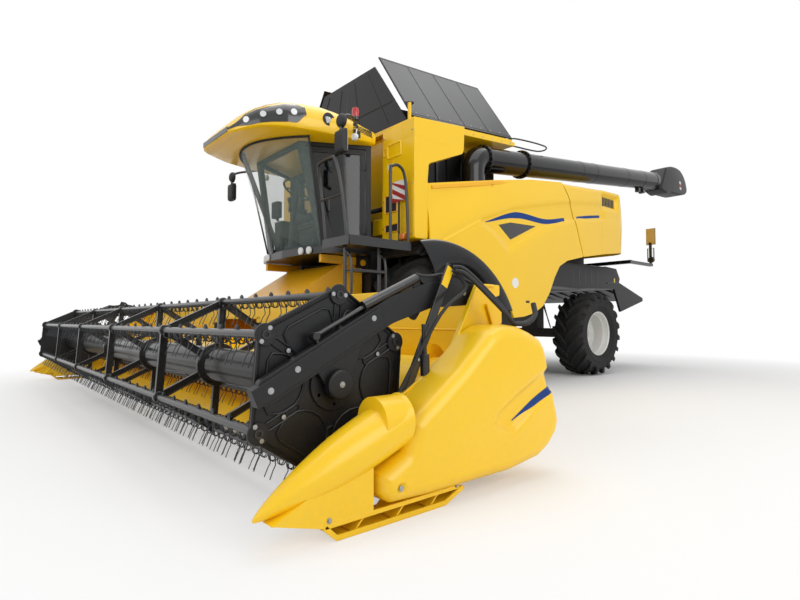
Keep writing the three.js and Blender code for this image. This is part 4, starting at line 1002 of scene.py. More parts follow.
loop = merge(pipe(loop_line, .010, 10, steps=6),
             pipe([(3.97, -2.10, .90), (4.00, -2.03, .905), (4.01, -1.96, .95), (3.98, -1.93, 1.02)],
                  .016, 10, steps=6))
lift = merge(pipe([(3.80, -2.655, .50), (3.80, -2.66, .74)], .026, 20),
             pipe([(3.80, -2.66, .73), (3.796, -2.663, .90)], .013, 16),
             disc((3.80, -2.655, .49), .026, .03, sides=20))
label = bar((3.7955, -2.452, 1.218), (3.7955, -2.505, 1.11), .002, .05)
for side, mirror_it in SIDES:
    piece(f"belt_cover_{side}", mirror_it(shield), header_yellow, "header", hides=[f"header_shield_{side}"],
          crease=45)
    piece(f"belt_cover_band_{side}", mirror_it(shield_band), stripe_blue, "header")
    piece(f"divider_{side}", mirror_it(divider), header_yellow, "header", hides=[f"header_end_{side}"],
          crease=38)
    piece(f"end_sheet_{side}", mirror_it(merge(web, flange, gusset)), header_yellow, "header", bevel=.002)
    piece(f"skid_{side}", mirror_it(skid), header_yellow, "header", bevel=.0015)
    piece(f"end_strut_{side}", mirror_it(merge(strut, lift)), black, "header", bevel=.002)
    piece(f"end_strut_label_{side}", mirror_it(label), header_yellow, "header")
    piece(f"end_hoses_{side}", mirror_it(merge(arch, loop)), hose, "header")
    screws = [bolt(3.992, y, z, .009, .006) for y, z in ((-3.38, .095), (-2.62, .085))]
    screws += [moved(disc((0, 0, 0), .013, .012), cover_x(-3.03, .165) + .004, -3.03, .165)]
    screws += [bolt(3.795, *p, .009, .006) for p in ((-2.446, 1.2), (-2.70, .71), (-2.78, .55))]
    piece(f"end_bolts_{side}", mirror_it(merge(*screws)), steel, "header")
band = block(3.35, 3.765, -2.0885, -2.0865, 1.02, 1.06)
piece("warning_strips", both(band), red_band, "header")

# ---- Rear hood over the straw walkers ----
HOOD_FOOT = [(2.30, 1.918), (2.858, 1.918), (3.563, 2.022), (4.226, 2.096), (4.45, 2.11)]
HOOD_TOP = [(2.30, 3.005), (2.326, 3.007), (3.532, 3.100), (4.048, 3.117), (4.45, 3.117)]
# The rear face as (height, how far back)
HOOD_BACK = [(2.09, 4.335), (2.553, 4.445), (2.85, 4.395), (3.04, 4.275), (3.14, 4.10)]
SCOOP = [(3.47, 3.02), (4.02, 3.04), (3.97, 2.80), (3.50, 2.79)]


def hood_in(y, z):
    """How far the hood stands in: the side's pressing, the scoop and the seam."""
    sunk = .045 * ease(depth_in(SCOOP, y, z), 0, .05) + .01 * ease(depth_in(SCOOP, y, z), -.04, 0)
    gap = .012 * (1 - ease(abs(y - 3.42), .002, .007))
    return panel_in(y, z) * (1 - .8 * ease(y, 3.45, 3.60)) + sunk + gap


def hood_height(y, v):
    """Height on the hood's side, v of the way from its lower to its upper edge."""
    low = along_line(HOOD_FOOT, y)
    return low + (along_line(HOOD_TOP, y) - low) * v


def hood():
    """Side, rounded rear corner, rear face and the roll into the deck, as one pressed sheet."""
    rows = []
    marks = [i / 30 * .955 for i in range(31)] + [.970, .984, .994, 1.0, 1.0, 1.0]
    insets = [0] * 31 + [.008, .022, .045, .075, .4, .8]
    for v, inset in zip(marks, insets):
        z_seam = 1.918 + 1.089 * v
        start = along_line([(z, y) for y, z in [(2.866, 1.918), (2.523, 2.716), (2.334, 3.007)]], z_seam)
        row = []
        for i in range(61):
            y = start + (4.05 - start) * i / 60
            z = hood_height(y, v)
            row.append((BODY_HALF - hood_in(y, z) - inset, y, z))
        for i in range(1, 13):
            a = math.radians(7.5 * i)
            z = hood_height(4.1, v)
            back = along_line(HOOD_BACK, z)
            x0 = BODY_HALF - .008 - inset * .6
            row.append((x0 - .36 + .36 * math.cos(a) - inset * .4 * math.cos(a),
                        4.05 + (back - 4.05) * math.sin(a) - inset * .5 * math.sin(a), z))
        half = row + [(row[-1][0] * k, row[-1][1] + .012 * (1 - k), row[-1][2]) for k in (.6, .3, 0)]
        rows.append(half + [(-x, y, z) for x, y, z in half[-2::-1]])
    return sheet_of(rows, .006)


hood_skin = hood()
rail_line = [(-.40, 2.49), (.802, 2.755), (1.56, 2.89)]
rails = both(pipe([(1.51, y, z - .012) for y, z in rail_line], 0, flat=(.05, .04)))
deck_back = side_plate([(1.53, 2.866), (2.42, 2.972), (2.42, 3.004), (2.326, 2.998), (1.53, 2.90)], -1.53,
                       1.53)
stays = both(merge(block(.80, 1.53, 1.47, 1.525, 2.152, 2.205), block(1.48, 1.53, 1.47, 1.53, 2.152, 2.86),
                   block(.70, 1.56, 3.60, 3.655, 2.152, 2.205), block(1.535, 1.565, 3.58, 3.68, 2.05, 2.30),
                   block(.62, .80, 1.47, 1.525, 2.152, 2.205)))
piece("rear_hood", hood_skin, yellow, hides=["rear_body"], crease=42)
piece("hood_frame", merge(rails, deck_back, stays), frame_yellow, bevel=.003)
lid = [(2.36, 2.996), (2.40, 3.0), (3.532, 3.090), (3.80, 3.099), (3.80, 3.075), (2.36, 2.97)]
piece("engine_lid", side_plate(lid, -.83, .83), yellow, bevel=.003)
louvres = [bar((-.55, y, 2.8252 + .0795 * y), (.55, y, 2.8252 + .0795 * y), .03, .012)
           for y in [2.62 + .075 * i for i in range(12)]]
piece("engine_louvres", merge(*louvres), black)
DECK = [(1.53, 2.90), (2.326, 2.998), (2.42, 3.004)]
grips = []
for y0 in [1.58 + i * .06 for i in range(13)]:
    corners = ((y0, 0), (y0 + .012, 0), (y0 + .012, .004), (y0, .004))
    grips.append(side_plate([(y, along_line(DECK, y) + h) for y, h in corners], -1.2, 1.2))
piece("deck_grips", merge(*grips), frame_yellow)
hood_band = band_on_side([(2.70, 2.512), (3.05, 2.575), (3.40, 2.628)], [.046, .045, .040])
piece("hood_stripe", both(hood_band), stripe_blue)
scoop_slats = [block(1.528, 1.534, 3.56 + i * .05, 3.585 + i * .05, 2.83, 2.98) for i in range(8)]
piece("hood_scoop_grille", both(merge(*scoop_slats)), black)
rear_lamps = merge(*[disc((x, 4.444, 2.45), .055, .03, "y", 24) for x in (.95, 1.08)])
rear_plate = block(-.26, .26, 4.444, 4.448, 2.28, 2.40)
grille = merge(*[block(-.62, .62, 4.424, 4.440, 2.62 + i * .045, 2.64 + i * .045) for i in range(7)])
piece("rear_lamps", both(rear_lamps), red_lens)
piece("rear_number_plate", rear_plate, white_film)
piece("rear_grille", grille, black, bevel=.002)

# ---- Front fenders ----
def fender():
    """The guard's skirt, rolled over from its inner face to its outer one."""
    rows = []
    for x, k in ((1.548, 0), (1.592, .0), (1.606, .03), (1.619, .10), (1.627, .25), (1.629, .5),
                 (1.625, .75), (1.612, .92), (1.59, 1.0), (1.54, 1.0)):
        outer = arc(-.31, .341, 1.512, 28, 103, 48)
        inner = arc(0, .91, .69, 14, 127, 48)
        rows.append([(x, a[0] + (b[0] - a[0]) * k, a[1] + (b[1] - a[1]) * k) for a, b in zip(outer, inner)])
    return sheet_of(rows, .004)


fender_roof = side_plate(arc(0, .91, 1.008, 5, 128, 40) + arc(0, .91, .967, 128, 5, 40), .7605, 1.522)
fender_ribs = [side_plate(arc(0, .91, 1.016, 8, 118, 40) + arc(0, .91, 1.006, 118, 8, 40), x, x + .012)
               for x in (.9, 1.1, 1.3)]
fender_web = side_plate(arc(0, .91, .955, 102, 126, 6) + arc(0, .91, .928, 126, 102, 6), 1.49, 1.56)
lip = pipe([(1.588, y, z) for y, z in arc(-.31, .341, 1.506, 30, 102, 60)], .010, 8)
for side, mirror_it in SIDES:
    piece(f"fender_{side}", mirror_it(fender()), satin, hides=[f"front_fender_{side}"],
          crease=50)
    piece(f"fender_roof_{side}", mirror_it(merge(fender_roof, fender_web, *fender_ribs)), plastic,
          bevel=.003)
    piece(f"fender_lip_{side}", mirror_it(lip), rim_grey)

# ---- Corner towers ----
LOW = rounded([(-.676, 1.851), (-.468, 1.851), (-.468, 2.545), (-.448, 2.743), (.136, 2.981), (.160, 3.225),
               (-.676, 3.218)], .03, 3)
HIGH = [(-.6768, 3.02), (.150, 3.02), (.166, 3.327), (-.6768, 3.24)]
tower = merge(side_plate(LOW, .961, 1.539), side_plate(HIGH, 1.306, 1.5398),
              block(.762, 1.01, -.675, -.482, 1.962, 2.158))


def front_frame(x0, x1, z0, z1, bead):
    """A pressed frame on a tower's front: its bead and the panel inside it."""
    line = rounded([(x0, z0), (x1, z0), (x1, z1), (x0, z1)], .018, 4)
    return closed_pipe([(x, -.677, z) for x, z in line], bead, 8), front_plate(line, -.679, -.670)


frames, wells = [], []
for spec in ((.985, 1.035, 2.90, 2.99, .006), (1.06, 1.30, 2.86, 3.02, .010),
             (1.05, 1.16, 2.68, 2.82, .004), (1.02, 1.24, 2.20, 2.41, .012),
             (1.02, 1.26, 1.965, 2.06, .010)):
    bead, well = front_frame(*spec)
    frames.append(bead)
    if spec[2] < 2.5:
        wells.append(well)
step = front_plate(rounded([(.965, 1.86), (1.52, 1.86), (1.52, 2.53), (1.20, 2.53), (.965, 2.50)], .03),
                   -.6815, -.672)
sign = disc((1.105, -.6785, 2.75), .038, .004, "y", 24)
for side, mirror_it in SIDES:
    piece(f"tower_{side}_skin", mirror_it(tower), yellow, hides=[f"tower_{side}"],
          bevel=.014)
    piece(f"tower_{side}_pressings", mirror_it(merge(*frames[:3], step)), yellow, bevel=.002)
    piece(f"tower_{side}_windows", mirror_it(merge(*[moved(w, 0, -.004) for w in wells])), dark)
    piece(f"tower_{side}_window_rims", mirror_it(moved(merge(*frames[3:]), 0, -.004)), frame_yellow)
    piece(f"tower_{side}_blank_sign", mirror_it(sign), white_film)
    heads = [disc((x, -.681, z), .009, .008, "y", 12)
             for x, z in ((.985, 2.35), (.985, 2.02), (1.5, 1.9), (1.5, 2.48), (.99, 3.12), (1.5, 3.1))]
    piece(f"tower_{side}_bolts", mirror_it(merge(*heads)), steel)

# ---- Grain tank and flaps ----
keep(yellow, "grain_tank")
tank_ribs = [block(s * .961 - .01, s * .961 + .01, y - .02, y + .02, 2.2, 3.28) for s in (-1, 1)
             for y in (.25, .45)]
cross = merge(pipe([(-.9, -.40, 2.35), (.9, -.40, 2.35)], .06, 16),
              pipe([(-.9, 1.38, 2.35), (.9, 1.38, 2.35)], .06, 16),
              bar((0, -.42, 2.42), (0, 1.43, 2.42), .05, .09))
piece("tank_side_sheets", both(block(.932, .951, -.44, 1.45, 2.20, 3.29)), satin, bevel=.003)
rod = pipe([(1.28, 1.44, 3.45), (1.28, 1.50, 3.56), (1.28, 2.30, 3.62), (1.10, 2.34, 3.60),
            (1.02, 1.50, 3.56), (1.02, 1.44, 3.45)], .012, 8, steps=6)
piece("tank_rod_loop", rod, black)
piece("tank_ribs", merge(*tank_ribs), black)
piece("tank_cross_augers", cross, dark)


def rim_line(y):
    """Top of the grain tank's rim."""
    return 3.366 + .0855 * y


rim_heads = [bolt(1.30, y, rim_line(y) - .02, .008, .001) for y in [-.4 + .2 * i for i in range(10)]]
piece("rim_bolts", both(merge(*rim_heads)), steel)
keep(satin, "tank_flap_left", "tank_flap_right", "tank_flap_front", "tank_flap_rear")
lean = math.atan2(1.285 - .640, 4.330 - 3.42)
across = Vector((math.cos(lean), 0, math.sin(lean)))


def on_leaf(y, t, out):
    """A point on a side flap's outer face: t runs from its foot to its head."""
    low, high = rim_line(y) + .042, 4.330 + .0855 * (y + .495)
    return Vector((1.285 - .645 * t, y, low + (high - low) * t)) + across * (.018 + out)


creases = [pipe([on_leaf(y, .04, -.001), on_leaf(y, .97, -.001)], .006, 6) for y in (-.02, .46, .94)]
creases += [pipe([on_leaf(-.48, t, -.001), on_leaf(1.42, t, -.001)], .004, 6) for t in (.03, .975)]
creases += [pipe([on_leaf(y, .02, -.001), on_leaf(y, .985, -.001)], .004, 6) for y in (-.485, 1.43)]
rivets = [moved(disc((0, 0, 0), .009, .008, "x", 10), *on_leaf(y, .06, 0))
          for y in [-.40 + .2 * i for i in range(10)]]
for side, mirror_it in SIDES:
    piece(f"flap_{side}_pressings", mirror_it(merge(*creases)), satin, f"flap_{side}")
    piece(f"flap_{side}_rivets", mirror_it(merge(*rivets)), steel, f"flap_{side}")
FLAP_FOOT, FLAP_HEAD = 1.20, .58      # half the end flaps' width at the hinge and at the top
for name, y, top in (("front", -.524, 4.20), ("rear", 1.469, 4.38)):
    low = rim_line(y) + .03
    ribs = [pipe([(s * (FLAP_FOOT - (FLAP_FOOT - FLAP_HEAD) * a) * k, y, low + (top - low) * a)
                  for a in (.05, .95)], .006, 6) for s in (-1, 1) for k in (.25, .75)]
    ribs.append(pipe([(-.95, y, low + (top - low) * .35), (.95, y, low + (top - low) * .35)], .005, 6))
    piece(f"flap_{name}_pressings", merge(*ribs), satin, f"flap_{name}")

# ---- Cab ----
CAB_BASE = 1.79       # top of the cab floor, foot of its glass
ROOF = [(-.815, 1.0, 3.27), (-.95, 1.0, 3.31), (-1.10, 1.0, 3.35), (-1.30, .985, 3.39),
        (-1.50, .958, 3.415), (-1.70, .915, 3.405), (-1.90, .858, 3.375), (-2.04, .778, 3.325),
        (-2.15, .695, 3.27), (-2.24, .60, 3.20), (-2.32, .478, 3.115), (-2.368, .36, 3.055)]


def roof_low(y):
    """Underside of the roof."""
    return along_line([(-2.37, 2.982), (-2.32, 2.974), (-2.15, 3.006), (-2.04, 3.012), (-.8, 3.012)], y)


roof_rings = []
for y, half, top in ROOF:
    low = roof_low(y)
    tall = top - low
    ring = [(-half + .05, low), (-half + .012, low + .015), (-half + .002, low + .10 * tall),
            (-half, low + .3 * tall), (-half + .004, low + .48 * tall), (-.965 * half, low + .64 * tall),
            (-.89 * half, low + .80 * tall), (-.76 * half, low + .92 * tall),
            (-.58 * half, low + .98 * tall), (-.35 * half, top), (0, top)]
    ring += [(-x, z) for x, z in reversed(ring[:-1])]
    roof_rings.append([(x, y, z) for x, z in ring])
piece("cab_roof_shell", skin(roof_rings), yellow, hides=["cab_roof"], bevel=.006,
      crease=48)


def roof_side(y, k):
    """A point on the roof's flank, k of the way up from its lower edge."""
    half = along_line([(a, b) for a, b, _ in reversed(ROOF)], y)
    top = along_line([(a, c) for a, _, c in reversed(ROOF)], y)
    low = roof_low(y)
    z = low + (top - low) * k
    inward = along_line([(0, .0), (.3, 0), (.48, .004), (.64, .035 * half), (.80, .11 * half),
                         (.92, .24 * half)], k)
    return Vector((half - inward, y, z))


band_rows = []
for i in range(33):
    t = i / 32
    y = -2.366 + .66 * t ** .8
    lift = ease(t, .0, .15) * (1 - ease(t, .80, 1.0))
    centre, half = .48 + .05 * t, .13 + .23 * lift
    row = [roof_side(y, centre - half + 2 * half * k / 6) for k in range(7)]
    band_rows.append([(p.x + .003, p.y - .003, p.z) for p in row])
piece("light_band", both(sheet_of(band_rows, .004)), glossy, crease=50)
piece("light_band_front", block(-.358, .358, -2.3745, -2.366, 2.988, 3.046), glossy, bevel=.003)
lamps, bezels = [], []
for y in (-2.25, -2.12, -1.98, -1.84):
    p, q = roof_side(y, .47), roof_side(y + .05, .47)
    out = (q - p).normalized().cross(Vector((0, 0, 1))).normalized()
    out = out if out.x > 0 else -out
    for target, radius, start, end in ((bezels, .042, -.004, .010), (lamps, .034, .006, .0125)):
        target.append(pipe([p + out * start, p + out * end], radius, 20))
work_spot = roof_side(-1.45, .42)
work = merge(pipe([work_spot + Vector((-.005, 0, 0)), work_spot + Vector((.0035, 0, 0))], .075, 24))
work_lamp = pipe([work_spot + Vector((.0, -.01, -.01)), work_spot + Vector((.012, -.035, -.018))], .036, 20)
vent_frame = skin([[tuple(roof_side(y, k) + Vector((d, 0, 0))) for y, k in
                    ((-1.16, .30), (-.86, .30), (-.86, .62), (-1.10, .66))] for d in (-.004, .003)])
slats = [bar(roof_side(-1.14, k) + Vector((.002, 0, 0)), roof_side(-.87, k) + Vector((.002, 0, 0)), .008,
             .008) for k in (.36, .42, .48, .54)]
piece("roof_lamp_bezels", both(merge(*bezels)), black)
piece("roof_lamps", both(merge(*lamps, work_lamp)), lamp)
piece("roof_wells", both(merge(work, vent_frame)), plastic)
piece("roof_slats", both(merge(*slats)), black)
keep(plastic, "cab_frame", "cab_door")
keep(black, "cab_floor")


def screen_row(half, front, bow, h):
    """One bowed line across the windscreen."""
    return [(t * half, front - .0045 - bow * (1 - t * t), h) for t in [-1 + i / 14 for i in range(29)]]


rows = []
for i in range(13):
    k = i / 12
    rows.append(screen_row(.682 + .118 * k * .94, -1.3455 - .255 * k, .110 + .285 * k,
                           CAB_BASE + .001 + 1.218 * k))
piece("windscreen_glass", sheet_of(rows, .006), screen_glass, hides=["windscreen"])
edge = [tuple(Vector(r[0]) + Vector((0, -.004, 0)))
        for r in rows], [tuple(Vector(r[-1]) + Vector((0, -.004, 0))) for r in rows]
seal = merge(*[pipe(list(side), .011, 8) for side in edge],
             pipe([(p[0], p[1] + .004, p[2] + .012) for p in rows[0]], .012, 8),
             pipe([(p[0], p[1] + .006, p[2] - .014) for p in rows[-1]], .013, 8))
wiper = merge(pipe([(-.30, -1.47, 1.81), (-.26, -1.53, 2.05), (-.22, -1.60, 2.35)], .008, 8, steps=4),
              pipe([(-.24, -1.51, 1.98), (-.20, -1.64, 2.52)], .006, 6),
              disc((-.30, -1.475, 1.81), .03, .04, "y", 20))
piece("windscreen_seals", seal, plastic)
piece("windscreen_wiper", wiper, black)
piece("windscreen_post", pipe([(p[0], p[1] + .03, p[2]) for p in [r[9] for r in rows]], 0,
                              flat=(.035, .05)), plastic)


FACE_X, FACE_Y = .8873, -.4612      # the way the cab's side faces


def side_at(s, h, out):
    """A point on the cab's side: s forwards from its rear post, at height h, out from its face."""
    return Vector((.95 + FACE_Y * s + FACE_X * out, -.845 - FACE_X * s + FACE_Y * out, h))


def lead(h):
    """How far forwards of the rear post the front post stands at height h."""
    return .5635 + .2874 * (h - CAB_BASE) / 1.22


pane = [side_at(.064, 1.85, -.02), side_at(lead(1.85) - .064, 1.85, -.02),
        side_at(lead(2.95) - .064, 2.95, -.02), side_at(.064, 2.95, -.02)]
out_of = Vector((FACE_X, FACE_Y, 0)) * .006
piece("door_pane", skin([[tuple(p) for p in pane], [tuple(p + out_of) for p in pane]]), door_glass, "door")
piece("far_side_pane", flipped(skin([[tuple(p) for p in pane], [tuple(p + out_of) for p in pane]])),
      screen_glass)
piece("rear_pane", block(-.598, .598, -.875, -.869, 2.412, 2.888), screen_glass)
handle = pipe([side_at(.50, 2.20, .0), side_at(.50, 2.20, .03), side_at(.50, 2.34, .03),
               side_at(.50, 2.34, .0)], .009, 8)
piece("door_handle", handle, black, "door")

# Seat, wheel and console
PUFF = .008     # how far the foam may swell past the sewn shape


def swollen(made):
    """Blow a cushion up as cloth; no point ends more than PUFF from where it was sewn."""
    even = made.modifiers.new("even_skin", "REMESH")
    even.mode, even.voxel_size, even.use_smooth_shade = "VOXEL", .006, True
    state = bpy.context.evaluated_depsgraph_get()
    made.data = bpy.data.meshes.new_from_object(made.evaluated_get(state))
    made.modifiers.clear()
    sewn = [point.co.copy() for point in made.data.vertices]
    cloth = made.modifiers.new("foam", "CLOTH")
    cloth.settings.use_pressure = True
    cloth.settings.uniform_pressure_force = 4
    cloth.settings.effector_weights.gravity = 0
    cloth.point_cache.frame_start, cloth.point_cache.frame_end = 1, 20
    for moment in range(1, 21):
        bpy.context.scene.frame_set(moment)
    state = bpy.context.evaluated_depsgraph_get()
    made.data = bpy.data.meshes.new_from_object(made.evaluated_get(state))
    made.modifiers.clear()
    for point, home in zip(made.data.vertices, sewn):
        shift = point.co - home
        if shift.length > PUFF:
            point.co = home + shift.normalized() * PUFF
    made.data.shade_smooth()
    bpy.context.scene.frame_set(1)


def cushion(name, shape):
    made = piece(name, shape, cloth, crease=180)
    swollen(made)
    return made


def pad(x0, x1, y0, y1, z0, z1, lean_back=0.0):
    """A crowned block of foam whose sides pull in towards its seams."""
    rings = []
    for k, inner in ((0, .045), (.06, .026), (.18, .014), (.5, .009), (.82, .014), (.94, .026), (1, .045)):
        line = rounded([(x0 + inner, y0 + inner), (x1 - inner, y0 + inner), (x1 - inner, y1 - inner),
                        (x0 + inner, y1 - inner)], .045 - inner * .5, 5)
        rings.append([(x, y + lean_back * k, z0 + PUFF + (z1 - z0 - 2 * PUFF) * k) for x, y in line])
    return skin(rings)


seat_pan = cushion("seat_cushion", pad(-.255, .255, -1.245, -.935, 2.166, 2.279))
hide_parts("operator_seat")
cushion("seat_back", pad(-.235, .235, -1.0, -.925, 2.30, 2.77, .03))
cushion("seat_head", pad(-.14, .14, -.985, -.915, 2.775, 2.868, .004))
sewn_line = rounded([(-.243, -1.233), (.243, -1.233), (.243, -.947), (-.243, -.947)], .05, 6)
piping = [closed_pipe([(x, y, z) for x, y in sewn_line], .004, 6) for z in (2.19, 2.256)]
channels = [pipe([(x, -1.235, 2.2775), (x, -1.09, 2.2795), (x, -.95, 2.2775)], .0025, 6)
            for x in (-.13, .13)]
channels += [pipe([(x, -.998, 2.34), (x, -.984, 2.54), (x, -.970, 2.74)], .0025, 6) for x in (-.13, .13)]
piece("seat_seams", merge(*piping, *channels), plastic)
piece("seat_base", merge(block(-.20, .20, -1.20, -.96, 2.10, 2.165),
                         block(-.16, .16, -1.16, -.98, 1.86, 2.10),
                         block(-.22, .22, -1.21, -.95, 1.792, 1.86)), plastic, bevel=.012)
boot = [block(-.175 + .004 * (i % 2), .175 - .004 * (i % 2), -1.175 + .004 * (i % 2),
              -.965 - .004 * (i % 2), 1.88 + i * .026, 1.896 + i * .026) for i in range(8)]
piece("seat_bellows", merge(*boot), rubber, bevel=.004)
arms = merge(block(-.30, -.262, -1.27, -1.0, 2.36, 2.42), block(-.285, -.265, -1.06, -1.02, 2.22, 2.37),
             pipe([(-.28, -1.25, 2.42), (-.28, -1.26, 2.50)], .016, 12),
             disc((-.28, -1.262, 2.52), .026, .05, "z", 16))
piece("armrest_and_lever", arms, plastic, bevel=.008)


def tilt(r, a):
    """A point on the steering wheel's tilted plane."""
    return Vector((r * math.cos(a), -1.29 + r * math.sin(a) * math.cos(-.5),
                   2.59 + r * math.sin(a) * math.sin(-.5)))


wheel_rim = closed_pipe([tuple(tilt(.195, 2 * math.pi * i / 40)) for i in range(40)], .014, 10)
spokes = [pipe([tilt(.02, a), tilt(.19, a)], .010, 10)
          for a in (math.radians(90), math.radians(210), math.radians(330))]
column = merge(pipe([(0, -1.395, 1.80), (0, -1.36, 2.20), (0, -1.30, 2.575)], .034, 16),
               block(-.07, .07, -1.44, -1.352, 1.792, 1.86),
               pipe([(0, -1.292, 2.56), (0, -1.288, 2.60)], .045, 20))
piece("steering_wheel", merge(wheel_rim, *spokes, column), plastic, hides=["steering_column"],
      crease=50)
console = merge(block(-.62, -.42, -1.30, -1.00, 1.80, 2.26), block(-.60, -.44, -1.36, -1.28, 2.30, 2.52),
                pipe([(-.52, -1.3, 2.26), (-.52, -1.32, 2.40)], .018, 12))
piece("console_and_display", console, plastic, bevel=.012)

# ---- Platform, rails, ladder ----
deck_plan = rounded([(1.005, -1.555), (1.518, -1.555), (1.518, -.702), (.953, -.702), (.953, -1.19)], .02,
                    3)
deck_plate = plan_plate(deck_plan, 1.742, 1.788)
treads = along(plan_plate([(-.012, -.003), (.012, -.003), (.012, .003), (-.012, .003)], 0, .0018), 12,
               (.042, 0, 0), black)
tread_rows = [moved(treads, 1.02, -1.52 + i * .035, 1.788) for i in range(23)]


def hoop(points):
    """A bent handrail."""
    return pipe(points, .017, 14, steps=8)


front_rail = hoop([(1.06, -1.54, 1.77), (1.05, -1.59, 2.29), (1.06, -1.64, 2.55), (1.12, -1.66, 2.60),
                   (1.33, -1.66, 2.61), (1.40, -1.64, 2.56), (1.44, -1.59, 2.24), (1.46, -1.54, 1.77)])
front_cross = merge(pipe([(1.052, -1.60, 2.22), (1.44, -1.595, 2.22)], .013, 10))
rear_rail = hoop([(1.48, -.98, 1.77), (1.48, -.98, 2.54), (1.478, -.95, 2.63), (1.478, -.86, 2.65),
                  (1.48, -.78, 2.57), (1.48, -.74, 2.29), (1.48, -.722, 1.77)])
piece("platform_deck", merge(deck_plate), black, hides=["platform_left"], bevel=.004)
piece("platform_treads", merge(*tread_rows), steel)
piece("platform_rails", merge(front_rail, front_cross, rear_rail), black, crease=60)
piece("platform_toe_board", merge(block(1.510, 1.519, -1.55, -.71, 1.70, 1.80),
                                  block(1.01, 1.51, -1.558, -1.550, 1.70, 1.80)), black, bevel=.002)
strings = [block(1.332, 1.368, y - .012, y + .012, .552, 1.738) for y in (-1.49, -1.035)]
rungs = []
for h in (.56, .85, 1.14, 1.43):
    rungs += [block(1.336, 1.478, -1.498, -1.027, h, h + .008),
              block(1.47, 1.479, -1.498, -1.027, h, h + .029),
              block(1.336, 1.345, -1.498, -1.027, h, h + .029)]
    rungs.append(moved(along(block(-.05, .05, -.004, .004, 0, .006), 11, (0, .04, 0), black), 1.408, -1.463,
                       h + .008))
ladder_rails = [pipe([(1.35, y, .89), (1.45, y, .97), (1.46, y, 1.53), (1.35, y, 1.67)], .0135, 12, steps=8)
                for y in (-1.49, -1.035)]
piece("ladder_steps", merge(*strings, *rungs, *ladder_rails), black, hides=["ladder"],
      bevel=.0015)
floor_lamps = [disc((x, y, 1.745), .045, .03, "y", 24)
               for x, y in ((.55, -1.452), (.42, -1.485))]
piece("floor_lamps", both(merge(*floor_lamps)), lamp)
board_x, board_y = (1.22, 1.44), -.735
stripes = []
for i in range(-1, 4):
    quad = [(board_x[0], 2.29 + i * .11), (board_x[1], 2.29 + i * .11 - .11),
            (board_x[1], 2.345 + i * .11 - .11), (board_x[0], 2.345 + i * .11)]
    quad = [(x, min(2.53, max(2.29, z))) for x, z in quad]
    if max(z for _, z in quad) - min(z for _, z in quad) > .03:
        stripes.append(front_plate(quad, board_y - .0035, board_y + .0005))
piece("warning_board", front_plate([(1.22, 2.29), (1.44, 2.29), (1.44, 2.53), (1.22, 2.53)], board_y - .002,
                                   board_y + .002), white_film)
piece("warning_board_stripes", merge(*stripes), red_band)
piece("warning_board_bracket", merge(bar((1.33, -.68, 2.41), (1.33, -.735, 2.41), .02, .02),
                                     bar((1.33, -.73, 1.82), (1.33, -.73, 2.50), .02, .012),
                                     block(1.27, 1.35, -.74, -.68, 1.80, 1.84)), black)
piece("side_marker_lamp", block(1.36, 1.44, -.76, -.70, 1.84, 1.91), amber, bevel=.012)

# ---- Mirrors and beacons ----
case = skin([[(x, y, z) for x, y in rounded([(1.32, -1.62 + d), (1.48, -1.62 + d), (1.482, -1.548),
                                             (1.318, -1.548)], .025, 5)]
             for z, d in ((2.662, .022), (2.675, .006), (2.70, 0), (2.86, 0), (2.888, .006),
                          (2.899, .022))])
small = skin([[(1.40 + r * math.cos(a), y, 3.0 + r * math.sin(a))
               for a in [math.radians(d) for d in range(0, 360, 15)]]
              for y, r in ((-1.614, .030), (-1.608, .055), (-1.592, .070), (-1.57, .074),
                           (-1.558, .074))])
arms_up = merge(pipe([(1.015, -1.10, 3.08), (1.12, -1.18, 3.12), (1.38, -1.455, 3.09),
                      (1.40, -1.585, 3.03)], .016, 12, steps=8),
                pipe([(1.40, -1.585, 3.05), (1.40, -1.585, 2.78)], .014, 12),
                block(1.002, 1.03, -1.14, -1.06, 3.04, 3.12))
beacon_base = lathe([(0, 3.10), (.022, 3.10), (.026, 3.14), (.044, 3.155), (.045, 3.19), (0, 3.19)],
                    (1.18, -1.24, 0), 28, "z")
beacon_lens = lathe([(0, 3.19), (.040, 3.19), (.041, 3.26), (.034, 3.292), (0, 3.299)], (1.18, -1.24, 0),
                    28, "z")
arm_lamp = merge(pipe([(1.10, -1.16, 3.12), (1.10, -1.175, 3.02)], .008, 8),
                 disc((1.10, -1.19, 3.0), .04, .05, "y", 24))
for side, mirror_it in SIDES:
    piece(f"mirror_{side}_case", mirror_it(merge(case, small)), plastic, hides=[f"mirror_{side}"],
          crease=50)
    piece(f"mirror_{side}_arm", mirror_it(merge(arms_up, beacon_base)), black)
    piece(f"mirror_{side}_glass", mirror_it(merge(block(1.328, 1.472, -1.5485, -1.5455, 2.68, 2.88),
          disc((1.40, -1.557, 3.0), .066, .004, "y", 32))), mirror)
    piece(f"beacon_{side}", mirror_it(beacon_lens), red_lens if side == "left" else amber)
    piece(f"mirror_lamp_{side}", mirror_it(arm_lamp), lamp)
whip = merge(pipe([(.62, -1.0, 3.28), (.62, -.99, 3.40), (.62, -.93, 3.76)], .004, 6),
             pipe([(.62, -1.0, 3.26), (.62, -1.0, 3.34)], .012, 10))
piece("whip_antenna", whip, black)

# ---- Unloading auger ----
keep(black, "auger_base")


AUGER_X, AUGER_RISE = 1.2, .122       # how far left the unloading auger lies, and its slope


def axis_z(y):
    """Height of the unloading auger's axis."""
    return 3.140 + AUGER_RISE * (y - .88)


elbow = [(AUGER_X, .68, 2.601), (AUGER_X, .68, 2.72), (AUGER_X, .68, 2.93)]
for i in range(1, 9):
    a = math.pi / 2 * i / 8
    elbow.append((AUGER_X, .68 + .19 * (1 - math.cos(a)), 2.926 + .213 * math.sin(a)))


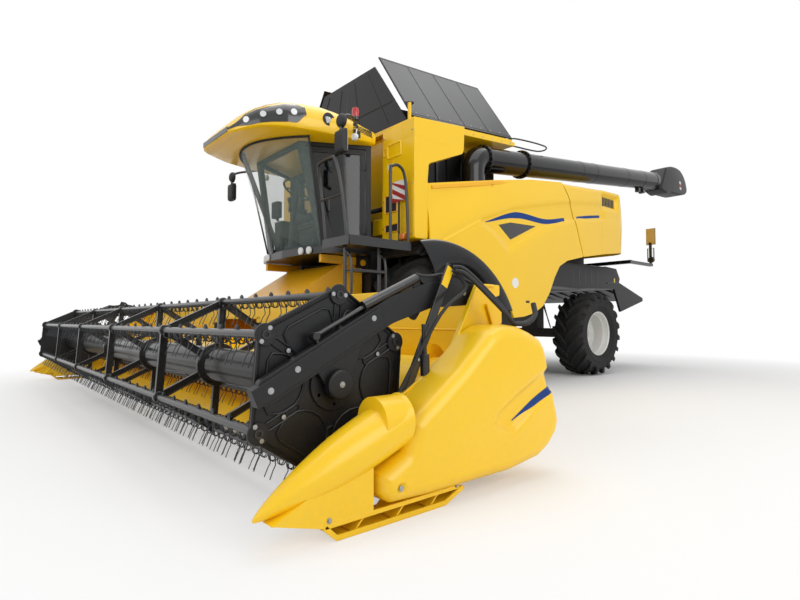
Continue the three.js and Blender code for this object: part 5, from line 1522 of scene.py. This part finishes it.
def along_auger(y0, y1, radius):
    """A length of pipe on the unloading auger's axis."""
    return pipe([(AUGER_X, y0, axis_z(y0)), (AUGER_X, y1, axis_z(y1))], radius, 44)


tube = merge(pipe(elbow, .173, 44), along_auger(.86, 6.225, .174))
seams = [along_auger(y - .006, y + .006, .1765) for y in (3.3, 3.75, 4.9, 5.6)]
flanges, flange_bolts = [], []
tip = math.atan(AUGER_RISE)
for y, r in ((.885, .203), (1.77, .208)):
    flanges += [along_auger(y - .015, y - .002, r), along_auger(y + .002, y + .015, r)]
    for k in range(18):
        a = 2 * math.pi * k / 18
        p = Vector((AUGER_X + (r - .014) * math.cos(a), y - math.sin(tip) * (r - .014) * math.sin(a),
                    axis_z(y) + math.cos(tip) * (r - .014) * math.sin(a)))
        along_tube = Vector((0, math.cos(tip), math.sin(tip))) * .021
        flange_bolts.append(pipe([p - along_tube, p + along_tube], .008, 6))
piece("auger_pipe", merge(tube, *seams), enamel("auger_enamel", "121316", rough=.16, dust=.02,
                                                Coat_Weight=.25, Coat_Roughness=.05, Specular_IOR_Level=.3),
      "auger", hides=["unloading_auger"], crease=50)
piece("auger_flanges", merge(*flanges), black, "auger", bevel=.002)
piece("auger_flange_bolts", merge(*flange_bolts), steel, "auger")
spout_line = [(6.235, 3.61), (6.52, 4.105), (6.80, 4.18), (7.02, 4.20), (7.25, 4.18), (7.42, 4.10),
              (7.545, 3.97), (7.612, 3.815), (7.60, 3.75), (7.53, 3.695), (7.27, 3.635), (6.90, 3.615),
              (6.72, 3.61), (6.53, 3.555)]
rings = []
for x, k in ((1.024, .90), (1.030, .955), (1.045, .985), (1.07, 1.0), (1.33, 1.0), (1.355, .985),
             (1.37, .955), (1.376, .90)):
    rings.append([(x, 6.95 + (y - 6.95) * k, 3.86 + (z - 3.86) * k)
                  for y, z in rounded(spout_line, .05, 3)])
piece("spout_hood", skin(rings), satin, "auger", hides=["auger_spout"], crease=45)
piece("spout_collar", along_auger(6.13, 6.24, .179), black, "auger")
cage = merge(*[pipe([(x, 7.36, 4.10), (x, 7.46, 4.06), (x, 7.56, 3.93), (x, 7.60, 3.80)], .006, 6, steps=4)
               for x in (1.08, 1.16, 1.24, 1.32)],
             pipe([(1.06, 7.555, 3.94), (1.34, 7.555, 3.94)], .006, 6),
             disc((AUGER_X, 6.98, 4.20), .035, .04, "z", 16))
piece("spout_cage", cage, black, "auger")
reflector = merge(*[side_plate([(7.16 + d, 3.92 - i * .06), (7.24 + d, 3.92 - i * .06),
                                (7.25 + d, 3.865 - i * .06), (7.17 + d, 3.865 - i * .06)], 1.375, 1.3785)
                    for i, d in ((0, 0), (2, .02))])
piece("spout_reflector_white", reflector, white_film, "auger")
piece("spout_reflector_red", side_plate([(7.17, 3.86), (7.25, 3.86), (7.26, 3.805), (7.18, 3.805)], 1.375,
                                        1.3785), red_band, "auger")
under_lamps = merge(block(1.16, 1.24, 5.55, 5.62, axis_z(5.58) - .25, axis_z(5.58) - .17),
                    block(1.15, 1.25, 5.72, 5.80, axis_z(5.76) - .27, axis_z(5.76) - .19),
                    pipe([(AUGER_X, 5.6, axis_z(5.6) - .18), (AUGER_X, 6.1, axis_z(6.1) - .19)], .01, 8))
piece("auger_work_lamps", under_lamps, black, "auger", bevel=.01)

# ---- Underbody, chopper, marker frame, feeder ----
keep(dark, "threshing_body", "engine", "front_axle", "rear_axle", "steering_knuckle_left",
     "steering_knuckle_right")
keep(satin, "straw_chopper")
keep(black, "rear_marker_frame")
keep(frame_yellow, "feeder_house")
pulleys = []
for y, z, r in ((.35, 1.25, .20), (1.35, 1.55, .32), (2.30, 1.60, .20), (2.95, 1.72, .24), (.9, 1.9, .16),
                (1.9, 1.95, .14)):
    pulleys.append(lathe([(0, .80), (.05, .80), (.06, .79), (r - .03, .79), (r - .015, .805), (r, .815),
                          (r - .015, .805), (r - .02, .77), (0, .77)], (0, y, z), 40))
belts = []
for (y0, z0, r0), (y1, z1, r1) in (((.35, 1.25, .19), (1.35, 1.55, .31)),
                                   ((1.35, 1.55, .30), (2.30, 1.60, .19)),
                                   ((2.30, 1.60, .19), (2.95, 1.72, .23)),
                                   ((.9, 1.9, .15), (1.9, 1.95, .13))):
    d = math.hypot(y1 - y0, z1 - z0)
    base, open_by = math.atan2(z1 - z0, y1 - y0), math.acos((r0 - r1) / d)
    for s in (1, -1):
        a = base + s * open_by
        belts.append(bar((.80, y0 + r0 * math.cos(a), z0 + r0 * math.sin(a)),
                         (.80, y1 + r1 * math.cos(a), z1 + r1 * math.sin(a)), .02, .012))
piece("drive_pulleys", both(merge(*pulleys)), black, crease=50)
piece("drive_belts", both(merge(*belts)), rubber)
side_hoses = [pipe([(.79, .2 + .07 * i, 1.95), (.86, .8 + .05 * i, 2.02 - .05 * i),
                    (.84, 1.6, 1.95 + .04 * i), (.80, 2.4, 1.88)], .014, 8, steps=8) for i in range(3)]
side_hoses += [pipe([(.60, 3.1, 1.44 + .04 * i), (.52, 3.3, 1.25 + .04 * i), (.45, 3.55, 1.0),
                     (.42, 3.70, .80)], .011, 8, steps=8) for i in range(3)]
piece("machine_hoses", both(merge(*side_hoses)), hose)
marker = merge(pipe([(1.61, 5.16, 1.93), (1.61, 5.16, 2.30)], .02, 10),
               pipe([(1.555, 5.17, 2.02), (1.555, 5.17, 2.26), (1.665, 5.17, 2.26), (1.665, 5.17, 2.02),
                     (1.555, 5.17, 2.02)], .011, 8),
               disc((1.62, 5.17, 2.05), .055, .05, "y", 28),
               block(1.595, 1.625, 5.197, 5.200, 2.36, 2.60))
piece("marker_brackets", both(marker), black)
piece("marker_boards", both(block(1.532, 1.688, 5.1945, 5.1985, 2.335, 2.628)), tan_board)
piece("marker_board_fronts", both(block(1.532, 1.688, 5.1615, 5.1655, 2.335, 2.628)), tan_board)
piece("marker_tips", both(block(1.60, 1.64, 5.14, 5.19, 1.935, 1.975)), amber, bevel=.008)
chop = [block(1.166, 1.182, 3.2 + i * .2, 3.215 + i * .2, 1.54, 1.80) for i in range(5)]
chop.append(pipe([(1.185, 2.86, 1.865), (1.185, 4.30, 1.878)], .010, 8))
chop += [pipe([(1.182, 4.35, 1.60), (1.182, 4.72, 1.62)], .012, 8)]
fins = [side_plate([(4.78, 1.60), (5.70, 1.37), (5.70, 1.35), (4.78, 1.50)], x - .004, x + .004)
        for x in (.15, .40, .65, .90)]
piece("chopper_trim", both(merge(*chop)), black)
piece("spreader_fins", both(merge(*fins)), black)
piece("chopper_mark", both(block(1.1805, 1.183, 4.60, 4.64, 1.62, 1.70)), yellow)
beam_parts = [block(s * .68 - .025, s * .68 + .025, -1.38, -.88, 1.60, 1.695) for s in (1, -1)]
piece("cab_subframe", merge(*beam_parts), frame_yellow, bevel=.006)

# ---- Lights, floor ----
def ground():
    """A plain pale floor; far out it turns as white as the sky behind it."""
    size = 60
    made = bpy.data.objects.new("floor", bpy.data.meshes.new("floor"))
    made.data.from_pydata([(-size, -size, 0), (size, -size, 0), (size, size, 0), (-size, size, 0)], [],
                          [[0, 1, 2, 3]])
    pale = bpy.data.materials.new("studio_floor")
    pale.use_nodes = True
    tree = pale.node_tree
    shader = tree.nodes["Principled BSDF"]
    shader.inputs["Base Color"].default_value = (0.92, 0.92, 0.92, 1)
    shader.inputs["Roughness"].default_value = 0.7
    shader.inputs["Specular IOR Level"].default_value = 0.2
    place = node(tree, "ShaderNodeTexCoord").outputs["Object"]
    far = node(tree, "ShaderNodeVectorMath", {"operation": "LENGTH"}, i0=place).outputs["Value"]
    glow = node(tree, "ShaderNodeEmission", Strength=1.0)
    seen = maths(tree, "MULTIPLY", ramp(tree, far, 4.5, 8.5),
                 node(tree, "ShaderNodeLightPath").outputs["Is Camera Ray"])
    joint = tree.nodes.new("ShaderNodeMixShader")
    tree.links.new(seen, joint.inputs[0])
    tree.links.new(shader.outputs[0], joint.inputs[1])
    tree.links.new(glow.outputs[0], joint.inputs[2])
    tree.links.new(joint.outputs[0], tree.nodes["Material Output"].inputs["Surface"])
    made.data.materials.append(pale)
    bpy.context.scene.collection.objects.link(made)


ground()
world = bpy.data.worlds.new("studio")
bpy.context.scene.world = world
world.use_nodes = True
sky = world.node_tree
sky.nodes.clear()
rays = sky.nodes.new("ShaderNodeLightPath")
seen = maths(sky, "MAXIMUM", rays.outputs["Is Camera Ray"],
             maths(sky, "MAXIMUM", rays.outputs["Is Glossy Ray"], rays.outputs["Is Transmission Ray"]))
soft = node(sky, "ShaderNodeBackground", Color=(1, 1, 1, 1), Strength=0.42)
white = node(sky, "ShaderNodeBackground", Color=(1, 1, 1, 1), Strength=1.0)
mix = sky.nodes.new("ShaderNodeMixShader")
sky.links.new(seen, mix.inputs[0])
sky.links.new(soft.outputs[0], mix.inputs[1])
sky.links.new(white.outputs[0], mix.inputs[2])
sky.links.new(mix.outputs[0], sky.nodes.new("ShaderNodeOutputWorld").inputs[0])


def area_light(name, spot, target, size, power):
    lamp_data = bpy.data.lights.new(name, "AREA")
    lamp_data.shape, lamp_data.energy = "RECTANGLE", power
    lamp_data.size, lamp_data.size_y = size
    made = bpy.data.objects.new(name, lamp_data)
    made.location = spot
    made.rotation_mode = "QUATERNION"
    made.rotation_quaternion = (Vector(target) - Vector(spot)).to_track_quat("-Z", "Y")
    bpy.context.scene.collection.objects.link(made)


area_light("overhead", (1, -1, 10), (0, 0, 1), (10, 12), 560)
area_light("left_side", (12, -3, 6), (0, 0, 1.5), (8, 6), 430)
area_light("front", (2, -14, 5), (0, -2, 1), (8, 5), 260)

bpy.context.scene.view_settings.view_transform = "Standard"
